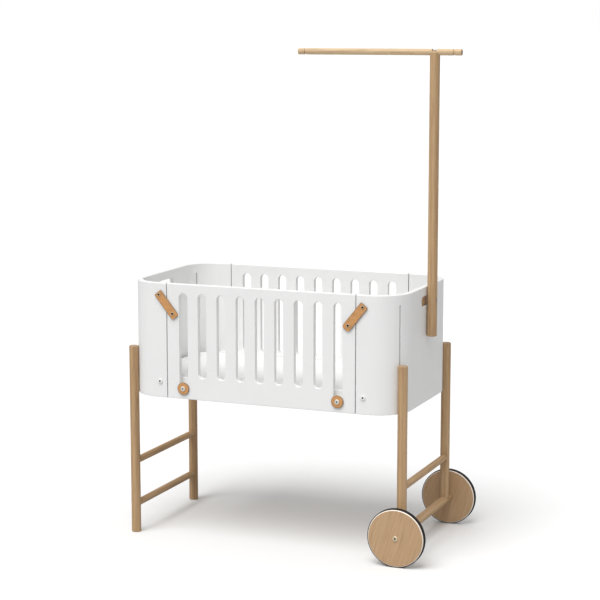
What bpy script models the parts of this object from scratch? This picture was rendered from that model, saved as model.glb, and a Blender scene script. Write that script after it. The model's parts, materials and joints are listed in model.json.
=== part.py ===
"""Baby crib on two oak leg frames: round-cornered white body, slotted drop side
held by leather straps, height-adjustable legs, two wheels and a canopy holder.

Metres, +Z up, +X towards the wheels, the drop side faces -Y.  The origin is on
the floor, under the centre of the whole crib's box.
"""
import math

import bmesh
import bpy
from mathutils import Matrix, Vector

GAP = 0.0003            # clearance between pieces that touch

# Body: two bent end panels, a back panel and a drop side
BODY_LENGTH = 0.832
BODY_WIDTH = 0.460
BODY_TOP = 0.750
BODY_BOTTOM = 0.418
CORNER_RADIUS = 0.096
WALL = 0.016
SEAM_X = 0.287
SEAM_GAP = 0.003
ARC_STEPS = 14

# Ventilation slots and the two longer ones that guide the drop side
SLOT_COUNT = 9
SLOT_PITCH = 0.0588
SLOT_WIDTH = 0.026
SLOT_TOP = 0.7235
SLOT_BOTTOM = 0.4805
SLOT_STEPS = 8
GUIDE_Z = 0.449

# Handle holes in the two ends
HANDLE_Z = 0.710
HANDLE_LENGTH = 0.100
HANDLE_HEIGHT = 0.028

# Legs, which slide up and down in slits in the rounded corners
LEG_ANGLE = math.radians(33.25)
LEG_RADIUS = 0.0137
LEG_TOP = 0.556
LEG_GAP = 0.0004
SLIT_WIDTH = 0.005
SLIT_TOP = 0.722
SLIT_BOTTOM = 0.4935
LEG_BOLT_HEIGHTS = (0.497, 0.540)
SADDLE_RISE = 0.003     # a wheel leg's foot above the middle of the axle bar
RUNG_RADIUS = 0.010
RUNG_SOCKET = 0.009
UPPER_RUNG_Z = 0.2127
LOWER_RUNG_Z = 0.0839

# Wheels and their axle bar
WHEEL_RADIUS = 0.0828
WHEEL_THICKNESS = 0.018
WHEEL_FACE_Y = 0.2473
TYRE_THICKNESS = 0.0020
TYRE_WIDTH = 0.013
AXLE_RADIUS = 0.0125
AXLE_PLAY = 0.0010
WHEEL_CHAMFER = 0.0020
TYRE_CROWN = 0.0006
WHEEL_STEPS = 48

# Mattress, its base board and the rails that carry it
RAIL_THICKNESS = 0.0145
RAIL_HALF_LENGTH = 0.325
RAIL_TOP = 0.4763
RAIL_BOTTOM = 0.4215
LEDGE_WIDTH = 0.025
LEDGE_THICKNESS = 0.008
BOARD_THICKNESS = 0.008
BASE_PLAY = 0.001
MATTRESS_TOP = 0.478
MATTRESS_CORNER = 0.066
END_SCREW_X = 0.3095
END_SCREW_Z = 0.4655

# Dowel that keeps the back panel in line with each end panel
DOWEL_Z = 0.660
DOWEL_RADIUS = 0.004
DOWEL_DEPTH = 0.022

# Leather straps that lock the drop side
STRAP_PIVOT_X = 0.309
STRAP_PIVOT_Z = 0.717
STRAP_ANGLE = math.radians(38.8)
STRAP_SPAN = 0.068
STRAP_WIDTH = 0.0255
STRAP_THICKNESS = 0.0032
STRAP_STANDOFF = 0.0016
STRAP_TOP_MARGIN = 0.0075
STRAP_END_MARGIN = 0.0147
STRAP_END_RADIUS = 0.008
STRAP_TOP_RADIUS = 0.0035
STRAP_WASHER_RADIUS = 0.006

# Leather discs over the guide screws
DISC_RADIUS = 0.018
DISC_THICKNESS = 0.005

# Shank radii of the fasteners, and how much wider than them their holes are
CLEARANCE = 0.0005
END_SCREW_SHANK = 0.0030
BACK_SCREW_SHANK = 0.0024
STUD_SHANK = 0.0017
LEG_BOLT_SHANK = 0.0020
AXLE_SCREW_SHANK = 0.0020
WHEEL_BOLT_SHANK = 0.0038
CLAMP_SHANK = 0.0030
WHEEL_PLAY = 0.001

# Head radius and height of each kind of fastener
END_SCREW_HEAD = (0.0074, 0.0034)
BACK_SCREW_HEAD = (0.0052, 0.0026)
GUIDE_SCREW_HEAD = (0.0070, 0.0026)
STRAP_SCREW_HEAD = (0.0046, 0.0022)
STRAP_CAP_HEAD = (0.0050, 0.0022)
LEG_BOLT_HEAD = (0.0055, 0.0040)
AXLE_SCREW_HEAD = (0.0042, 0.0022)
WHEEL_BOLT_HEAD = (0.0072, 0.0028)
ROD_SCREW_HEAD = (0.0042, 0.0024)
CLAMP_BOLT_HEAD = (0.0050, 0.0045)

# How far the fasteners reach into what they hold
RAIL_BITE = 0.010
RAIL_WEB = 0.003        # wood left behind a screw hole in a rail
STRAP_SCREW_BITE = 0.012
STUD_BITE = 0.010
BLIND_END = 0.001       # extra depth of a blind hole beyond its screw
LEG_BOLT_BITE = 0.006
AXLE_SCREW_LENGTH = 0.050
WHEEL_BOLT_BITE = 0.023
ROD_SCREW_LENGTH = 0.050

# Plates that clamp the legs and the canopy pole from inside the body
LEG_PLATE_HALF_WIDTH = 0.007
LEG_PLATE_MARGIN = 0.010
LEG_PLATE_RADIUS = 0.004
LEG_PLATE_THICKNESS = 0.002
LEG_PLATE_BOW = 0.0007  # room for the hollow of the round corner behind the plate
WELD = 0.0005           # how far a bolt head sinks into its plate
POLE_PLATE_THICKNESS = 0.010
POLE_PLATE_OVERLAP = (0.026, 0.018)
BLOCK_PLAY = 0.0012
BLOCK_SETBACK = 0.004
NUT_RADIUS = 0.009
NUT_THICKNESS = 0.004
RECESS_RADIUS = 0.0056
RECESS_DEPTH = 0.0065

# Canopy holder
POLE_RADIUS = 0.0140
POLE_BOTTOM = 0.608
ROD_RADIUS = 0.009
ROD_Z = 1.4008
ROD_START = 0.025
ROD_END = 0.508
ROD_GROOVE = 0.0215
GROOVE_DEPTH = 0.0012
GROOVE_HALF_WIDTH = 0.002
ROD_CHAMFER = 0.0012
NOTCH_WIDTH = 0.014
NOTCH_DEPTH = 0.005

# Worked out from the above
CORNER_X = BODY_LENGTH / 2 - CORNER_RADIUS
CORNER_Y = BODY_WIDTH / 2 - CORNER_RADIUS
INNER_X = BODY_LENGTH / 2 - WALL
INNER_Y = BODY_WIDTH / 2 - WALL
PANEL_END = SEAM_X - SEAM_GAP / 2
LEG_REACH = CORNER_RADIUS + LEG_GAP + LEG_RADIUS
LEG_X = CORNER_X + LEG_REACH * math.cos(LEG_ANGLE)
LEG_Y = CORNER_Y + LEG_REACH * math.sin(LEG_ANGLE)
AXLE_Z = WHEEL_RADIUS
GUIDE_X = SLOT_PITCH * (SLOT_COUNT - 1) / 2
POLE_X = BODY_LENGTH / 2 + LEG_GAP + POLE_RADIUS
PANEL_MID_Y = BODY_WIDTH / 2 - WALL / 2
BOARD_BOTTOM = RAIL_BOTTOM + LEDGE_THICKNESS + GAP
BOARD_TOP = BOARD_BOTTOM + BOARD_THICKNESS
AXLE_END = WHEEL_FACE_Y - WHEEL_THICKNESS - AXLE_PLAY
RECESS_SEAT = POLE_X + POLE_RADIUS - RECESS_DEPTH
PLATE_OUTER = INNER_X - GAP
PLATE_INNER = PLATE_OUTER - POLE_PLATE_THICKNESS
CENTRE_X = (LEG_X + LEG_RADIUS - ROD_END) / 2

X_AXIS = Vector((1, 0, 0))
Y_AXIS = Vector((0, 1, 0))
Z_AXIS = Vector((0, 0, 1))


def at(x, y, z):
    """A point given from the middle of the body, in the part's own frame."""
    return Vector((x + CENTRE_X, y, z))


# ---------------------------------------------------------------- scene and materials

def clear_scene():
    for item in list(bpy.data.objects):
        bpy.data.objects.remove(item, do_unlink=True)
    for collection in list(bpy.data.collections):
        bpy.data.collections.remove(collection)


clear_scene()
PARTS = bpy.data.collections.new("baby_crib")
CUTTERS = bpy.data.collections.new("cutters")
bpy.context.scene.collection.children.link(PARTS)
bpy.context.scene.collection.children.link(CUTTERS)


def material(name, colour, roughness, metallic=0.0):
    surface = bpy.data.materials.new(name)
    surface.use_nodes = True
    shader = surface.node_tree.nodes["Principled BSDF"]
    shader.inputs["Base Color"].default_value = (*colour, 1.0)
    shader.inputs["Roughness"].default_value = roughness
    shader.inputs["Metallic"].default_value = metallic
    return surface


WHITE = material("white_paint", (0.86, 0.86, 0.85), 0.45)
OAK = material("oak", (0.47, 0.31, 0.19), 0.55)
PLYWOOD = material("plywood", (0.66, 0.52, 0.36), 0.65)
LEATHER = material("leather", (0.55, 0.27, 0.10), 0.50)
FABRIC = material("mattress_fabric", (0.88, 0.88, 0.87), 0.90)
RUBBER = material("rubber", (0.02, 0.02, 0.02), 0.75)
STEEL = material("steel", (0.60, 0.60, 0.58), 0.30, 1.0)
BRASS = material("brass", (0.55, 0.38, 0.18), 0.35, 1.0)
WHITE_METAL = material("white_metal", (0.85, 0.85, 0.84), 0.35)
NYLON = material("nylon", (0.80, 0.79, 0.75), 0.50)


def empty(name, location):
    """A parent on a joint's axis, so that its pieces turn or slide with it."""
    joint = bpy.data.objects.new(name, None)
    joint.location = location
    joint.empty_display_size = 0.03
    PARTS.objects.link(joint)
    return joint


BODY = empty("crib_body", at(0, 0, 0))
DROP_SIDE = empty("drop_side_slide", at(0, -BODY_WIDTH / 2, BODY_BOTTOM))
LEFT_LEGS = empty("left_legs_slide", at(-LEG_X, 0, 0))
RIGHT_LEGS = empty("right_legs_slide", at(LEG_X, 0, 0))
FRONT_WHEEL = empty("front_wheel_spin", at(LEG_X, -WHEEL_FACE_Y, AXLE_Z))
BACK_WHEEL = empty("back_wheel_spin", at(LEG_X, WHEEL_FACE_Y, AXLE_Z))
STRAP_PIVOTS = {}
for strap_side, strap_sign in (("left", -1), ("right", 1)):
    STRAP_PIVOTS[strap_side] = empty(
        strap_side + "_strap_swing",
        at(strap_sign * STRAP_PIVOT_X, -BODY_WIDTH / 2, STRAP_PIVOT_Z),
    )


# ---------------------------------------------------------------- building blocks

def add(name, data, surface, parent, matrix):
    """Link a new object, give it its material and hang it under its joint."""
    piece = bpy.data.objects.new(name, data)
    if surface is None:
        CUTTERS.objects.link(piece)
        piece.hide_render = True
        piece.display_type = "WIRE"
    else:
        PARTS.objects.link(piece)
        data.materials.append(surface)
    if parent is not None:
        piece.parent = parent
        matrix = Matrix.Translation(-parent.location) @ matrix
    piece.matrix_basis = matrix
    return piece


def basis(origin, x_axis, y_axis):
    """The matrix of a flat outline drawn along x_axis and y_axis at origin."""
    x_axis = Vector(x_axis).normalized()
    y_axis = Vector(y_axis).normalized()
    normal = x_axis.cross(y_axis)
    columns = Matrix((x_axis, y_axis, normal)).transposed().to_4x4()
    return Matrix.Translation(origin) @ columns


def along(origin, direction):
    """The matrix of a turned piece whose own Z points along direction."""
    turn = Vector(direction).to_track_quat("Z", "Y").to_matrix().to_4x4()
    return Matrix.Translation(origin) @ turn


def evaluated_mesh(piece):
    bpy.context.view_layer.update()
    depsgraph = bpy.context.evaluated_depsgraph_get()
    return bpy.data.meshes.new_from_object(piece.evaluated_get(depsgraph))


def remove(piece):
    bpy.data.objects.remove(piece, do_unlink=True)


def board(name, outlines, thickness, matrix, surface=None, parent=None):
    """A flat outline with holes, given thickness, as a welded mesh object."""
    curve = bpy.data.curves.new(name, "CURVE")
    curve.dimensions = "2D"
    curve.fill_mode = "BOTH"
    curve.extrude = thickness / 2
    for outline in outlines:
        spline = curve.splines.new("POLY")
        spline.points.add(len(outline) - 1)
        for point, (x, y) in zip(spline.points, outline):
            point.co = (x, y, 0, 1)
        spline.use_cyclic_u = True
    drawn = bpy.data.objects.new(name + "_outline", curve)
    CUTTERS.objects.link(drawn)
    mesh = evaluated_mesh(drawn)
    remove(drawn)
    bpy.data.curves.remove(curve)
    welded = bmesh.new()
    welded.from_mesh(mesh)
    bmesh.ops.remove_doubles(welded, verts=welded.verts, dist=0.00001)
    bmesh.ops.recalc_face_normals(welded, faces=welded.faces)
    welded.to_mesh(mesh)
    welded.free()
    mesh.name = name
    return add(name, mesh, surface, parent, matrix)


def turned(name, profile, matrix, surface=None, parent=None, steps=12, ring=False):
    """A profile of (radius, height) points, outer side top to bottom, turned
    about its own Z.  A ring's profile closes on itself round its hole."""
    mesh = bpy.data.meshes.new(name)
    points = [(radius, 0, height) for radius, height in profile]
    edges = [(i, i + 1) for i in range(len(points) - 1)]
    if ring:
        edges.append((len(points) - 1, 0))
    mesh.from_pydata(points, edges, [])
    piece = add(name, mesh, surface, parent, matrix)
    screw = piece.modifiers.new("turn", "SCREW")
    screw.axis = "Z"
    screw.steps = steps
    screw.render_steps = steps
    screw.use_merge_vertices = True
    screw.merge_threshold = 0.00005
    screw.use_smooth_shade = False
    return piece


def rod(name, start, end, radius, surface=None, parent=None, steps=12):
    """A plain round bar from start to end."""
    start = Vector(start)
    end = Vector(end)
    length = (end - start).length
    profile = [(0, length), (radius, length), (radius, 0), (0, 0)]
    return turned(name, profile, along(start, end - start), surface, parent, steps)


def combine(target, other, operation):
    boolean = target.modifiers.new(other.name, "BOOLEAN")
    boolean.operation = operation
    boolean.solver = "EXACT"
    boolean.object = other


def cut(target, cutter):
    combine(target, cutter, "DIFFERENCE")


def drill(target, start, end, radius, steps=12):
    """Cut a round hole into target, from start to end."""
    cut(target, rod(target.name + "_hole", start, end, radius, steps=steps))


def screw_profile(head, shank_radius, shank_length):
    """A round-headed screw: its head above zero and its shank below."""
    head_radius, head_height = head
    return [
        (0, head_height),
        (head_radius * 0.65, head_height),
        (head_radius, head_height * 0.45),
        (head_radius, 0),
        (shank_radius, 0),
        (shank_radius, -shank_length),
        (0, -shank_length),
    ]


def ring_profile(outer, inner, thickness):
    """A washer or disc that sits on its own zero plane."""
    return [(outer, thickness), (outer, 0), (inner, 0), (inner, thickness)]


def arc(centre_x, centre_y, radius, start, end, steps):
    """Points along an arc, in degrees, both ends included."""
    points = []
    for i in range(steps + 1):
        angle = math.radians(start + (end - start) * i / steps)
        points.append((centre_x + radius * math.cos(angle),
                       centre_y + radius * math.sin(angle)))
    return points


def slot(x, bottom, top, width, steps=SLOT_STEPS):
    """An upright slot with round ends."""
    radius = width / 2
    return (arc(x, top - radius, radius, 0, 180, steps)
            + arc(x, bottom + radius, radius, 180, 360, steps))


def flat_slot(centre_z, length, height, steps=SLOT_STEPS):
    """The same slot lying on its side, about x = 0."""
    upright = slot(0, -length / 2, length / 2, height, steps)
    return [(y, centre_z + x) for x, y in upright]


def circle(x, y, radius, steps=12):
    return arc(x, y, radius, 0, 360 - 360 / steps, steps - 1)


def rounded_rectangle(left, right, bottom, top, low_radius, high_radius, steps):
    return (arc(right - high_radius, top - high_radius, high_radius, 0, 90, steps)
            + arc(left + high_radius, top - high_radius, high_radius, 90, 180, steps)
            + arc(left + low_radius, bottom + low_radius, low_radius, 180, 270, steps)
            + arc(right - low_radius, bottom + low_radius, low_radius, 270, 360, steps))


def upright(y):
    """The matrix of an outline drawn in X and Z, at depth y."""
    return basis(at(0, y, 0), X_AXIS, Z_AXIS)


# ---------------------------------------------------------------- body panels

def end_outline(side):
    """Plan of an end panel: two returns, two round corners and a flat end."""
    start = SEAM_X + SEAM_GAP / 2
    inner_radius = CORNER_RADIUS - WALL
    outer = [(start, -BODY_WIDTH / 2)]
    outer += arc(CORNER_X, -CORNER_Y, CORNER_RADIUS, -90, 0, ARC_STEPS)
    outer += arc(CORNER_X, CORNER_Y, CORNER_RADIUS, 0, 90, ARC_STEPS)
    outer += [(start, BODY_WIDTH / 2)]
    inner = [(start, -INNER_Y)]
    inner += arc(CORNER_X, -CORNER_Y, inner_radius, -90, 0, ARC_STEPS)
    inner += arc(CORNER_X, CORNER_Y, inner_radius, 0, 90, ARC_STEPS)
    inner += [(start, INNER_Y)]
    return [(side * x, y) for x, y in outer + inner[::-1]]


def corner_direction(side, depth):
    """Level direction from a corner's centre out through its leg."""
    return Vector((side * math.cos(LEG_ANGLE), depth * math.sin(LEG_ANGLE), 0))


def corner_point(side, depth, reach, z):
    centre = at(side * CORNER_X, depth * CORNER_Y, z)
    return centre + corner_direction(side, depth) * reach


def make_end_panel(name, side):
    middle = (BODY_TOP + BODY_BOTTOM) / 2
    panel = board(name, [end_outline(side)], BODY_TOP - BODY_BOTTOM,
                  basis(at(0, 0, middle), X_AXIS, Y_AXIS), WHITE, BODY)
    for depth in (-1, 1):
        out = corner_direction(side, depth)
        place = basis(corner_point(side, depth, CORNER_RADIUS - WALL / 2, 0),
                      Z_AXIS.cross(out), Z_AXIS)
        outline = slot(0, SLIT_BOTTOM, SLIT_TOP, SLIT_WIDTH, 4)
        cut(panel, board(name + "_slit", [outline], 3 * WALL, place))
        outside = depth * (BODY_WIDTH / 2 + WALL)
        inside = depth * (INNER_Y - WALL)
        drill(panel, at(side * END_SCREW_X, outside, END_SCREW_Z),
              at(side * END_SCREW_X, inside, END_SCREW_Z), END_SCREW_SHANK + CLEARANCE)
    outline = flat_slot(HANDLE_Z, HANDLE_LENGTH, HANDLE_HEIGHT)
    place = basis(at(side * (INNER_X + WALL / 2), 0, 0), Y_AXIS, Z_AXIS)
    cut(panel, board(name + "_handle", [outline], 3 * WALL, place))
    front = -BODY_WIDTH / 2
    drill(panel, at(side * STRAP_PIVOT_X, front - WALL, STRAP_PIVOT_Z),
          at(side * STRAP_PIVOT_X, front + STRAP_SCREW_BITE + BLIND_END, STRAP_PIVOT_Z),
          STUD_SHANK + CLEARANCE)
    drill(panel, at(side * SEAM_X, PANEL_MID_Y, DOWEL_Z),
          at(side * (SEAM_X + DOWEL_DEPTH), PANEL_MID_Y, DOWEL_Z), DOWEL_RADIUS + GAP)


def slot_positions():
    return [SLOT_PITCH * (i - (SLOT_COUNT - 1) / 2) for i in range(SLOT_COUNT)]


def slotted_panel(name, y, guide_bottom, parent):
    """A flat panel with a row of slots; the outer two reach down to guide_bottom."""
    edge = 0.001
    outline = rounded_rectangle(-PANEL_END, PANEL_END, BODY_BOTTOM, BODY_TOP, edge, edge, 1)
    panel = board(name, [outline], WALL, upright(y), WHITE, parent)
    for x in slot_positions():
        bottom = guide_bottom if abs(x) > GUIDE_X - GAP else SLOT_BOTTOM
        outline = slot(x, bottom, SLOT_TOP, SLOT_WIDTH)
        cut(panel, board(name + "_slot", [outline], 3 * WALL, upright(y)))
    return panel


def make_back_panel():
    panel = slotted_panel("back_panel", PANEL_MID_Y, SLOT_BOTTOM, BODY)
    reach = DOWEL_DEPTH - GAP
    for name, side in (("left", -1), ("right", 1)):
        drill(panel, at(side * GUIDE_X, INNER_Y - WALL, GUIDE_Z),
              at(side * GUIDE_X, INNER_Y + 2 * WALL, GUIDE_Z), BACK_SCREW_SHANK + CLEARANCE)
        drill(panel, at(side * SEAM_X, PANEL_MID_Y, DOWEL_Z),
              at(side * (SEAM_X - DOWEL_DEPTH), PANEL_MID_Y, DOWEL_Z), DOWEL_RADIUS + GAP)
        rod(name + "_seam_dowel", at(side * SEAM_X - reach, PANEL_MID_Y, DOWEL_Z),
            at(side * SEAM_X + reach, PANEL_MID_Y, DOWEL_Z), DOWEL_RADIUS, OAK, BODY)


def make_drop_side():
    """The panel that slides down; its outer slots run down to the guide screws."""
    panel = slotted_panel("drop_side_panel", -PANEL_MID_Y, GUIDE_Z - SLOT_WIDTH / 2, DROP_SIDE)
    for side in (-1, 1):
        x, z = strap_end(side)
        drill(panel, at(x, -INNER_Y - 2 * WALL, z), at(x, -INNER_Y + WALL, z),
              STUD_SHANK + CLEARANCE)


# ---------------------------------------------------------------- base and mattress

def make_rail(name, depth):
    """L-shaped rail: an upright that takes the screws and a ledge for the board."""
    outer = INNER_Y - GAP
    inner = outer - RAIL_THICKNESS
    lip = inner - LEDGE_WIDTH
    section = [(outer, RAIL_BOTTOM), (outer, RAIL_TOP), (inner, RAIL_TOP),
               (inner, RAIL_BOTTOM + LEDGE_THICKNESS), (lip, RAIL_BOTTOM + LEDGE_THICKNESS),
               (lip, RAIL_BOTTOM)]
    section = [(depth * y, z) for y, z in section]
    rail = board(name, [section], 2 * RAIL_HALF_LENGTH, basis(at(0, 0, 0), Y_AXIS, Z_AXIS),
                 WHITE, BODY)
    for side in (-1, 1):
        for x, z in ((END_SCREW_X, END_SCREW_Z), (GUIDE_X, GUIDE_Z)):
            drill(rail, at(side * x, depth * INNER_Y, z),
                  at(side * x, depth * (inner + RAIL_WEB), z), END_SCREW_SHANK + CLEARANCE)


def make_base():
    make_rail("front_rail", -1)
    make_rail("back_rail", 1)
    half_length = INNER_X - BASE_PLAY
    half_width = INNER_Y - GAP - RAIL_THICKNESS - BASE_PLAY
    outline = rounded_rectangle(-half_length, half_length, -half_width, half_width,
                                MATTRESS_CORNER, MATTRESS_CORNER, 8)
    middle = BOARD_BOTTOM + BOARD_THICKNESS / 2
    board("mattress_base", [outline], BOARD_THICKNESS,
          basis(at(0, 0, middle), X_AXIS, Y_AXIS), PLYWOOD, BODY)
    thickness = MATTRESS_TOP - BOARD_TOP - GAP
    middle = MATTRESS_TOP - thickness / 2
    board("mattress", [outline], thickness, basis(at(0, 0, middle), X_AXIS, Y_AXIS),
          FABRIC, BODY)


def make_body_screws():
    """Screws that hold the end panels and the back panel to the rails."""
    for place, depth in (("front", -1), ("back", 1)):
        face = depth * (BODY_WIDTH / 2 + GAP)
        for name, side in (("left", -1), ("right", 1)):
            turned(name + "_" + place + "_end_screw",
                   screw_profile(END_SCREW_HEAD, END_SCREW_SHANK, WALL + RAIL_BITE),
                   along(at(side * END_SCREW_X, face, END_SCREW_Z), Y_AXIS * depth),
                   WHITE_METAL, BODY, 16)
    for name, side in (("left", -1), ("right", 1)):
        turned(name + "_back_panel_screw",
               screw_profile(BACK_SCREW_HEAD, BACK_SCREW_SHANK, WALL + RAIL_BITE),
               along(at(side * GUIDE_X, BODY_WIDTH / 2 + GAP, GUIDE_Z), Y_AXIS),
               WHITE_METAL, BODY, 12)


# ---------------------------------------------------------------- drop side hardware

def make_guides():
    """Leather disc, screw and bush at the foot of each guide slot."""
    face = -BODY_WIDTH / 2
    hole = END_SCREW_SHANK + CLEARANCE
    for name, side in (("left", -1), ("right", 1)):
        disc_back = at(side * GUIDE_X, face - GAP, GUIDE_Z)
        turned(name + "_guide_disc", ring_profile(DISC_RADIUS, hole, DISC_THICKNESS),
               along(disc_back, -Y_AXIS), LEATHER, BODY, 32, ring=True)
        seat = disc_back - Y_AXIS * (DISC_THICKNESS + GAP)
        turned(name + "_guide_screw",
               screw_profile(GUIDE_SCREW_HEAD, END_SCREW_SHANK,
                             DISC_THICKNESS + WALL + RAIL_BITE),
               along(seat, -Y_AXIS), STEEL, BODY, 16)
        bush_back = at(side * GUIDE_X, -INNER_Y, GUIDE_Z)
        turned(name + "_guide_bush",
               ring_profile(SLOT_WIDTH / 2 - 2 * GAP, hole, WALL - GAP),
               along(bush_back, -Y_AXIS), NYLON, BODY, 24, ring=True)


def strap_direction(side):
    """Down the strap, from its pivot across the seam to the drop side."""
    return Vector((-side * math.sin(STRAP_ANGLE), 0, -math.cos(STRAP_ANGLE)))


def strap_end(side):
    end = Vector((side * STRAP_PIVOT_X, 0, STRAP_PIVOT_Z)) + strap_direction(side) * STRAP_SPAN
    return end.x, end.z


def make_straps():
    """Straps that swing on a screw and snap on to studs in the drop side."""
    front = -BODY_WIDTH / 2
    strap_back = front - STRAP_STANDOFF
    strap_face = strap_back - STRAP_THICKNESS
    hole = STUD_SHANK + CLEARANCE
    for name, side in (("left", -1), ("right", 1)):
        down = strap_direction(side)
        outline = rounded_rectangle(-STRAP_WIDTH / 2, STRAP_WIDTH / 2,
                                    -STRAP_SPAN - STRAP_END_MARGIN, STRAP_TOP_MARGIN,
                                    STRAP_END_RADIUS, STRAP_TOP_RADIUS, 4)
        holes = [circle(0, 0, hole), circle(0, -STRAP_SPAN, hole)]
        middle = at(side * STRAP_PIVOT_X, (strap_back + strap_face) / 2, STRAP_PIVOT_Z)
        board(name + "_strap", [outline] + holes, STRAP_THICKNESS,
              basis(middle, down.cross(Y_AXIS), -down), LEATHER, STRAP_PIVOTS[name])
        washer_back = at(side * STRAP_PIVOT_X, front - GAP, STRAP_PIVOT_Z)
        turned(name + "_strap_washer",
               ring_profile(STRAP_WASHER_RADIUS, hole, STRAP_STANDOFF - 2 * GAP),
               along(washer_back, -Y_AXIS), BRASS, BODY, 12, ring=True)
        seat = at(side * STRAP_PIVOT_X, strap_face - GAP, STRAP_PIVOT_Z)
        turned(name + "_strap_screw",
               screw_profile(STRAP_SCREW_HEAD, STUD_SHANK,
                             STRAP_THICKNESS + STRAP_STANDOFF + STRAP_SCREW_BITE),
               along(seat, -Y_AXIS), BRASS, BODY, 16)
        x, z = strap_end(side)
        turned(name + "_strap_cap",
               screw_profile(STRAP_CAP_HEAD, STUD_SHANK, STRAP_THICKNESS),
               along(at(x, strap_face - GAP, z), -Y_AXIS), BRASS, STRAP_PIVOTS[name], 16)
        turned(name + "_drop_side_stud",
               screw_profile((STRAP_CAP_HEAD[0], STRAP_STANDOFF - 2 * GAP), STUD_SHANK,
                             STUD_BITE),
               along(at(x, front - GAP, z), -Y_AXIS), BRASS, DROP_SIDE, 12)


# ---------------------------------------------------------------- leg frames

def make_leg(name, side, depth, parent, bottom, rung_heights):
    x = side * LEG_X
    y = depth * LEG_Y
    leg = rod(name, at(x, y, bottom), at(x, y, LEG_TOP), LEG_RADIUS, OAK, parent, 32)
    for z in LEG_BOLT_HEIGHTS:
        drill(leg, corner_point(side, depth, LEG_REACH - 2 * LEG_RADIUS, z),
              corner_point(side, depth, LEG_REACH + LEG_BOLT_BITE, z),
              LEG_BOLT_SHANK + CLEARANCE)
    mouth = depth * (LEG_Y - 2 * LEG_RADIUS)
    floor = depth * (LEG_Y - LEG_RADIUS + RUNG_SOCKET)
    for z in rung_heights:
        drill(leg, at(x, mouth, z), at(x, floor, z), RUNG_RADIUS + GAP, 24)
    make_leg_clamp(name + "_clamp", side, depth, parent)
    return leg


def make_leg_clamp(name, side, depth, parent):
    """Plate inside the body with two bolts that reach through the slit to the leg."""
    inward = -corner_direction(side, depth)
    seat = CORNER_RADIUS - WALL - LEG_PLATE_BOW - LEG_PLATE_THICKNESS
    low, high = LEG_BOLT_HEIGHTS
    outline = rounded_rectangle(-LEG_PLATE_HALF_WIDTH, LEG_PLATE_HALF_WIDTH,
                                low - LEG_PLATE_MARGIN, high + LEG_PLATE_MARGIN,
                                LEG_PLATE_RADIUS, LEG_PLATE_RADIUS, 3)
    place = basis(corner_point(side, depth, seat + LEG_PLATE_THICKNESS / 2, 0),
                  Z_AXIS.cross(inward), Z_AXIS)
    plate = board(name, [outline], LEG_PLATE_THICKNESS, place, STEEL, parent)
    shank = LEG_REACH + LEG_BOLT_BITE - CLEARANCE - seat - WELD
    for z in LEG_BOLT_HEIGHTS:
        bolt = turned(name + "_bolt", screw_profile(LEG_BOLT_HEAD, LEG_BOLT_SHANK, shank),
                      along(corner_point(side, depth, seat + WELD, z), inward), steps=12)
        combine(plate, bolt, "UNION")


def make_rung(name, side, z, parent):
    reach = LEG_Y - LEG_RADIUS + RUNG_SOCKET - GAP
    rod(name, at(side * LEG_X, -reach, z), at(side * LEG_X, reach, z), RUNG_RADIUS,
        OAK, parent, 24)


def make_left_legs():
    heights = (UPPER_RUNG_Z, LOWER_RUNG_Z)
    make_leg("left_front_leg", -1, -1, LEFT_LEGS, 0, heights)
    make_leg("left_back_leg", -1, 1, LEFT_LEGS, 0, heights)
    make_rung("left_upper_rung", -1, UPPER_RUNG_Z, LEFT_LEGS)
    make_rung("left_lower_rung", -1, LOWER_RUNG_Z, LEFT_LEGS)


def make_right_legs():
    """Shorter legs that stand in saddles on the axle bar."""
    bar = rod("axle_bar", at(LEG_X, -AXLE_END, AXLE_Z), at(LEG_X, AXLE_END, AXLE_Z),
              AXLE_RADIUS, OAK, RIGHT_LEGS, 24)
    under = AXLE_Z - AXLE_RADIUS - GAP
    screw_end = under + AXLE_SCREW_LENGTH + BLIND_END
    hole = AXLE_SCREW_SHANK + CLEARANCE
    for name, depth in (("right_front", -1), ("right_back", 1)):
        leg = make_leg(name + "_leg", 1, depth, RIGHT_LEGS, AXLE_Z + SADDLE_RISE,
                       (UPPER_RUNG_Z,))
        drill(leg, at(LEG_X, -AXLE_END, AXLE_Z), at(LEG_X, AXLE_END, AXLE_Z),
              AXLE_RADIUS + GAP, 24)
        y = depth * LEG_Y
        drill(leg, at(LEG_X, y, AXLE_Z), at(LEG_X, y, screw_end), hole)
        drill(bar, at(LEG_X, y, under - AXLE_RADIUS), at(LEG_X, y, AXLE_Z + 2 * AXLE_RADIUS),
              hole)
        turned(name + "_axle_screw",
               screw_profile(AXLE_SCREW_HEAD, AXLE_SCREW_SHANK, AXLE_SCREW_LENGTH),
               along(at(LEG_X, y, under), -Z_AXIS), STEEL, RIGHT_LEGS, 12)
        drill(bar, at(LEG_X, depth * (AXLE_END + AXLE_RADIUS), AXLE_Z),
              at(LEG_X, depth * (AXLE_END - WHEEL_BOLT_BITE - BLIND_END), AXLE_Z),
              WHEEL_BOLT_SHANK + CLEARANCE)
    make_rung("right_rung", 1, UPPER_RUNG_Z, RIGHT_LEGS)


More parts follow.
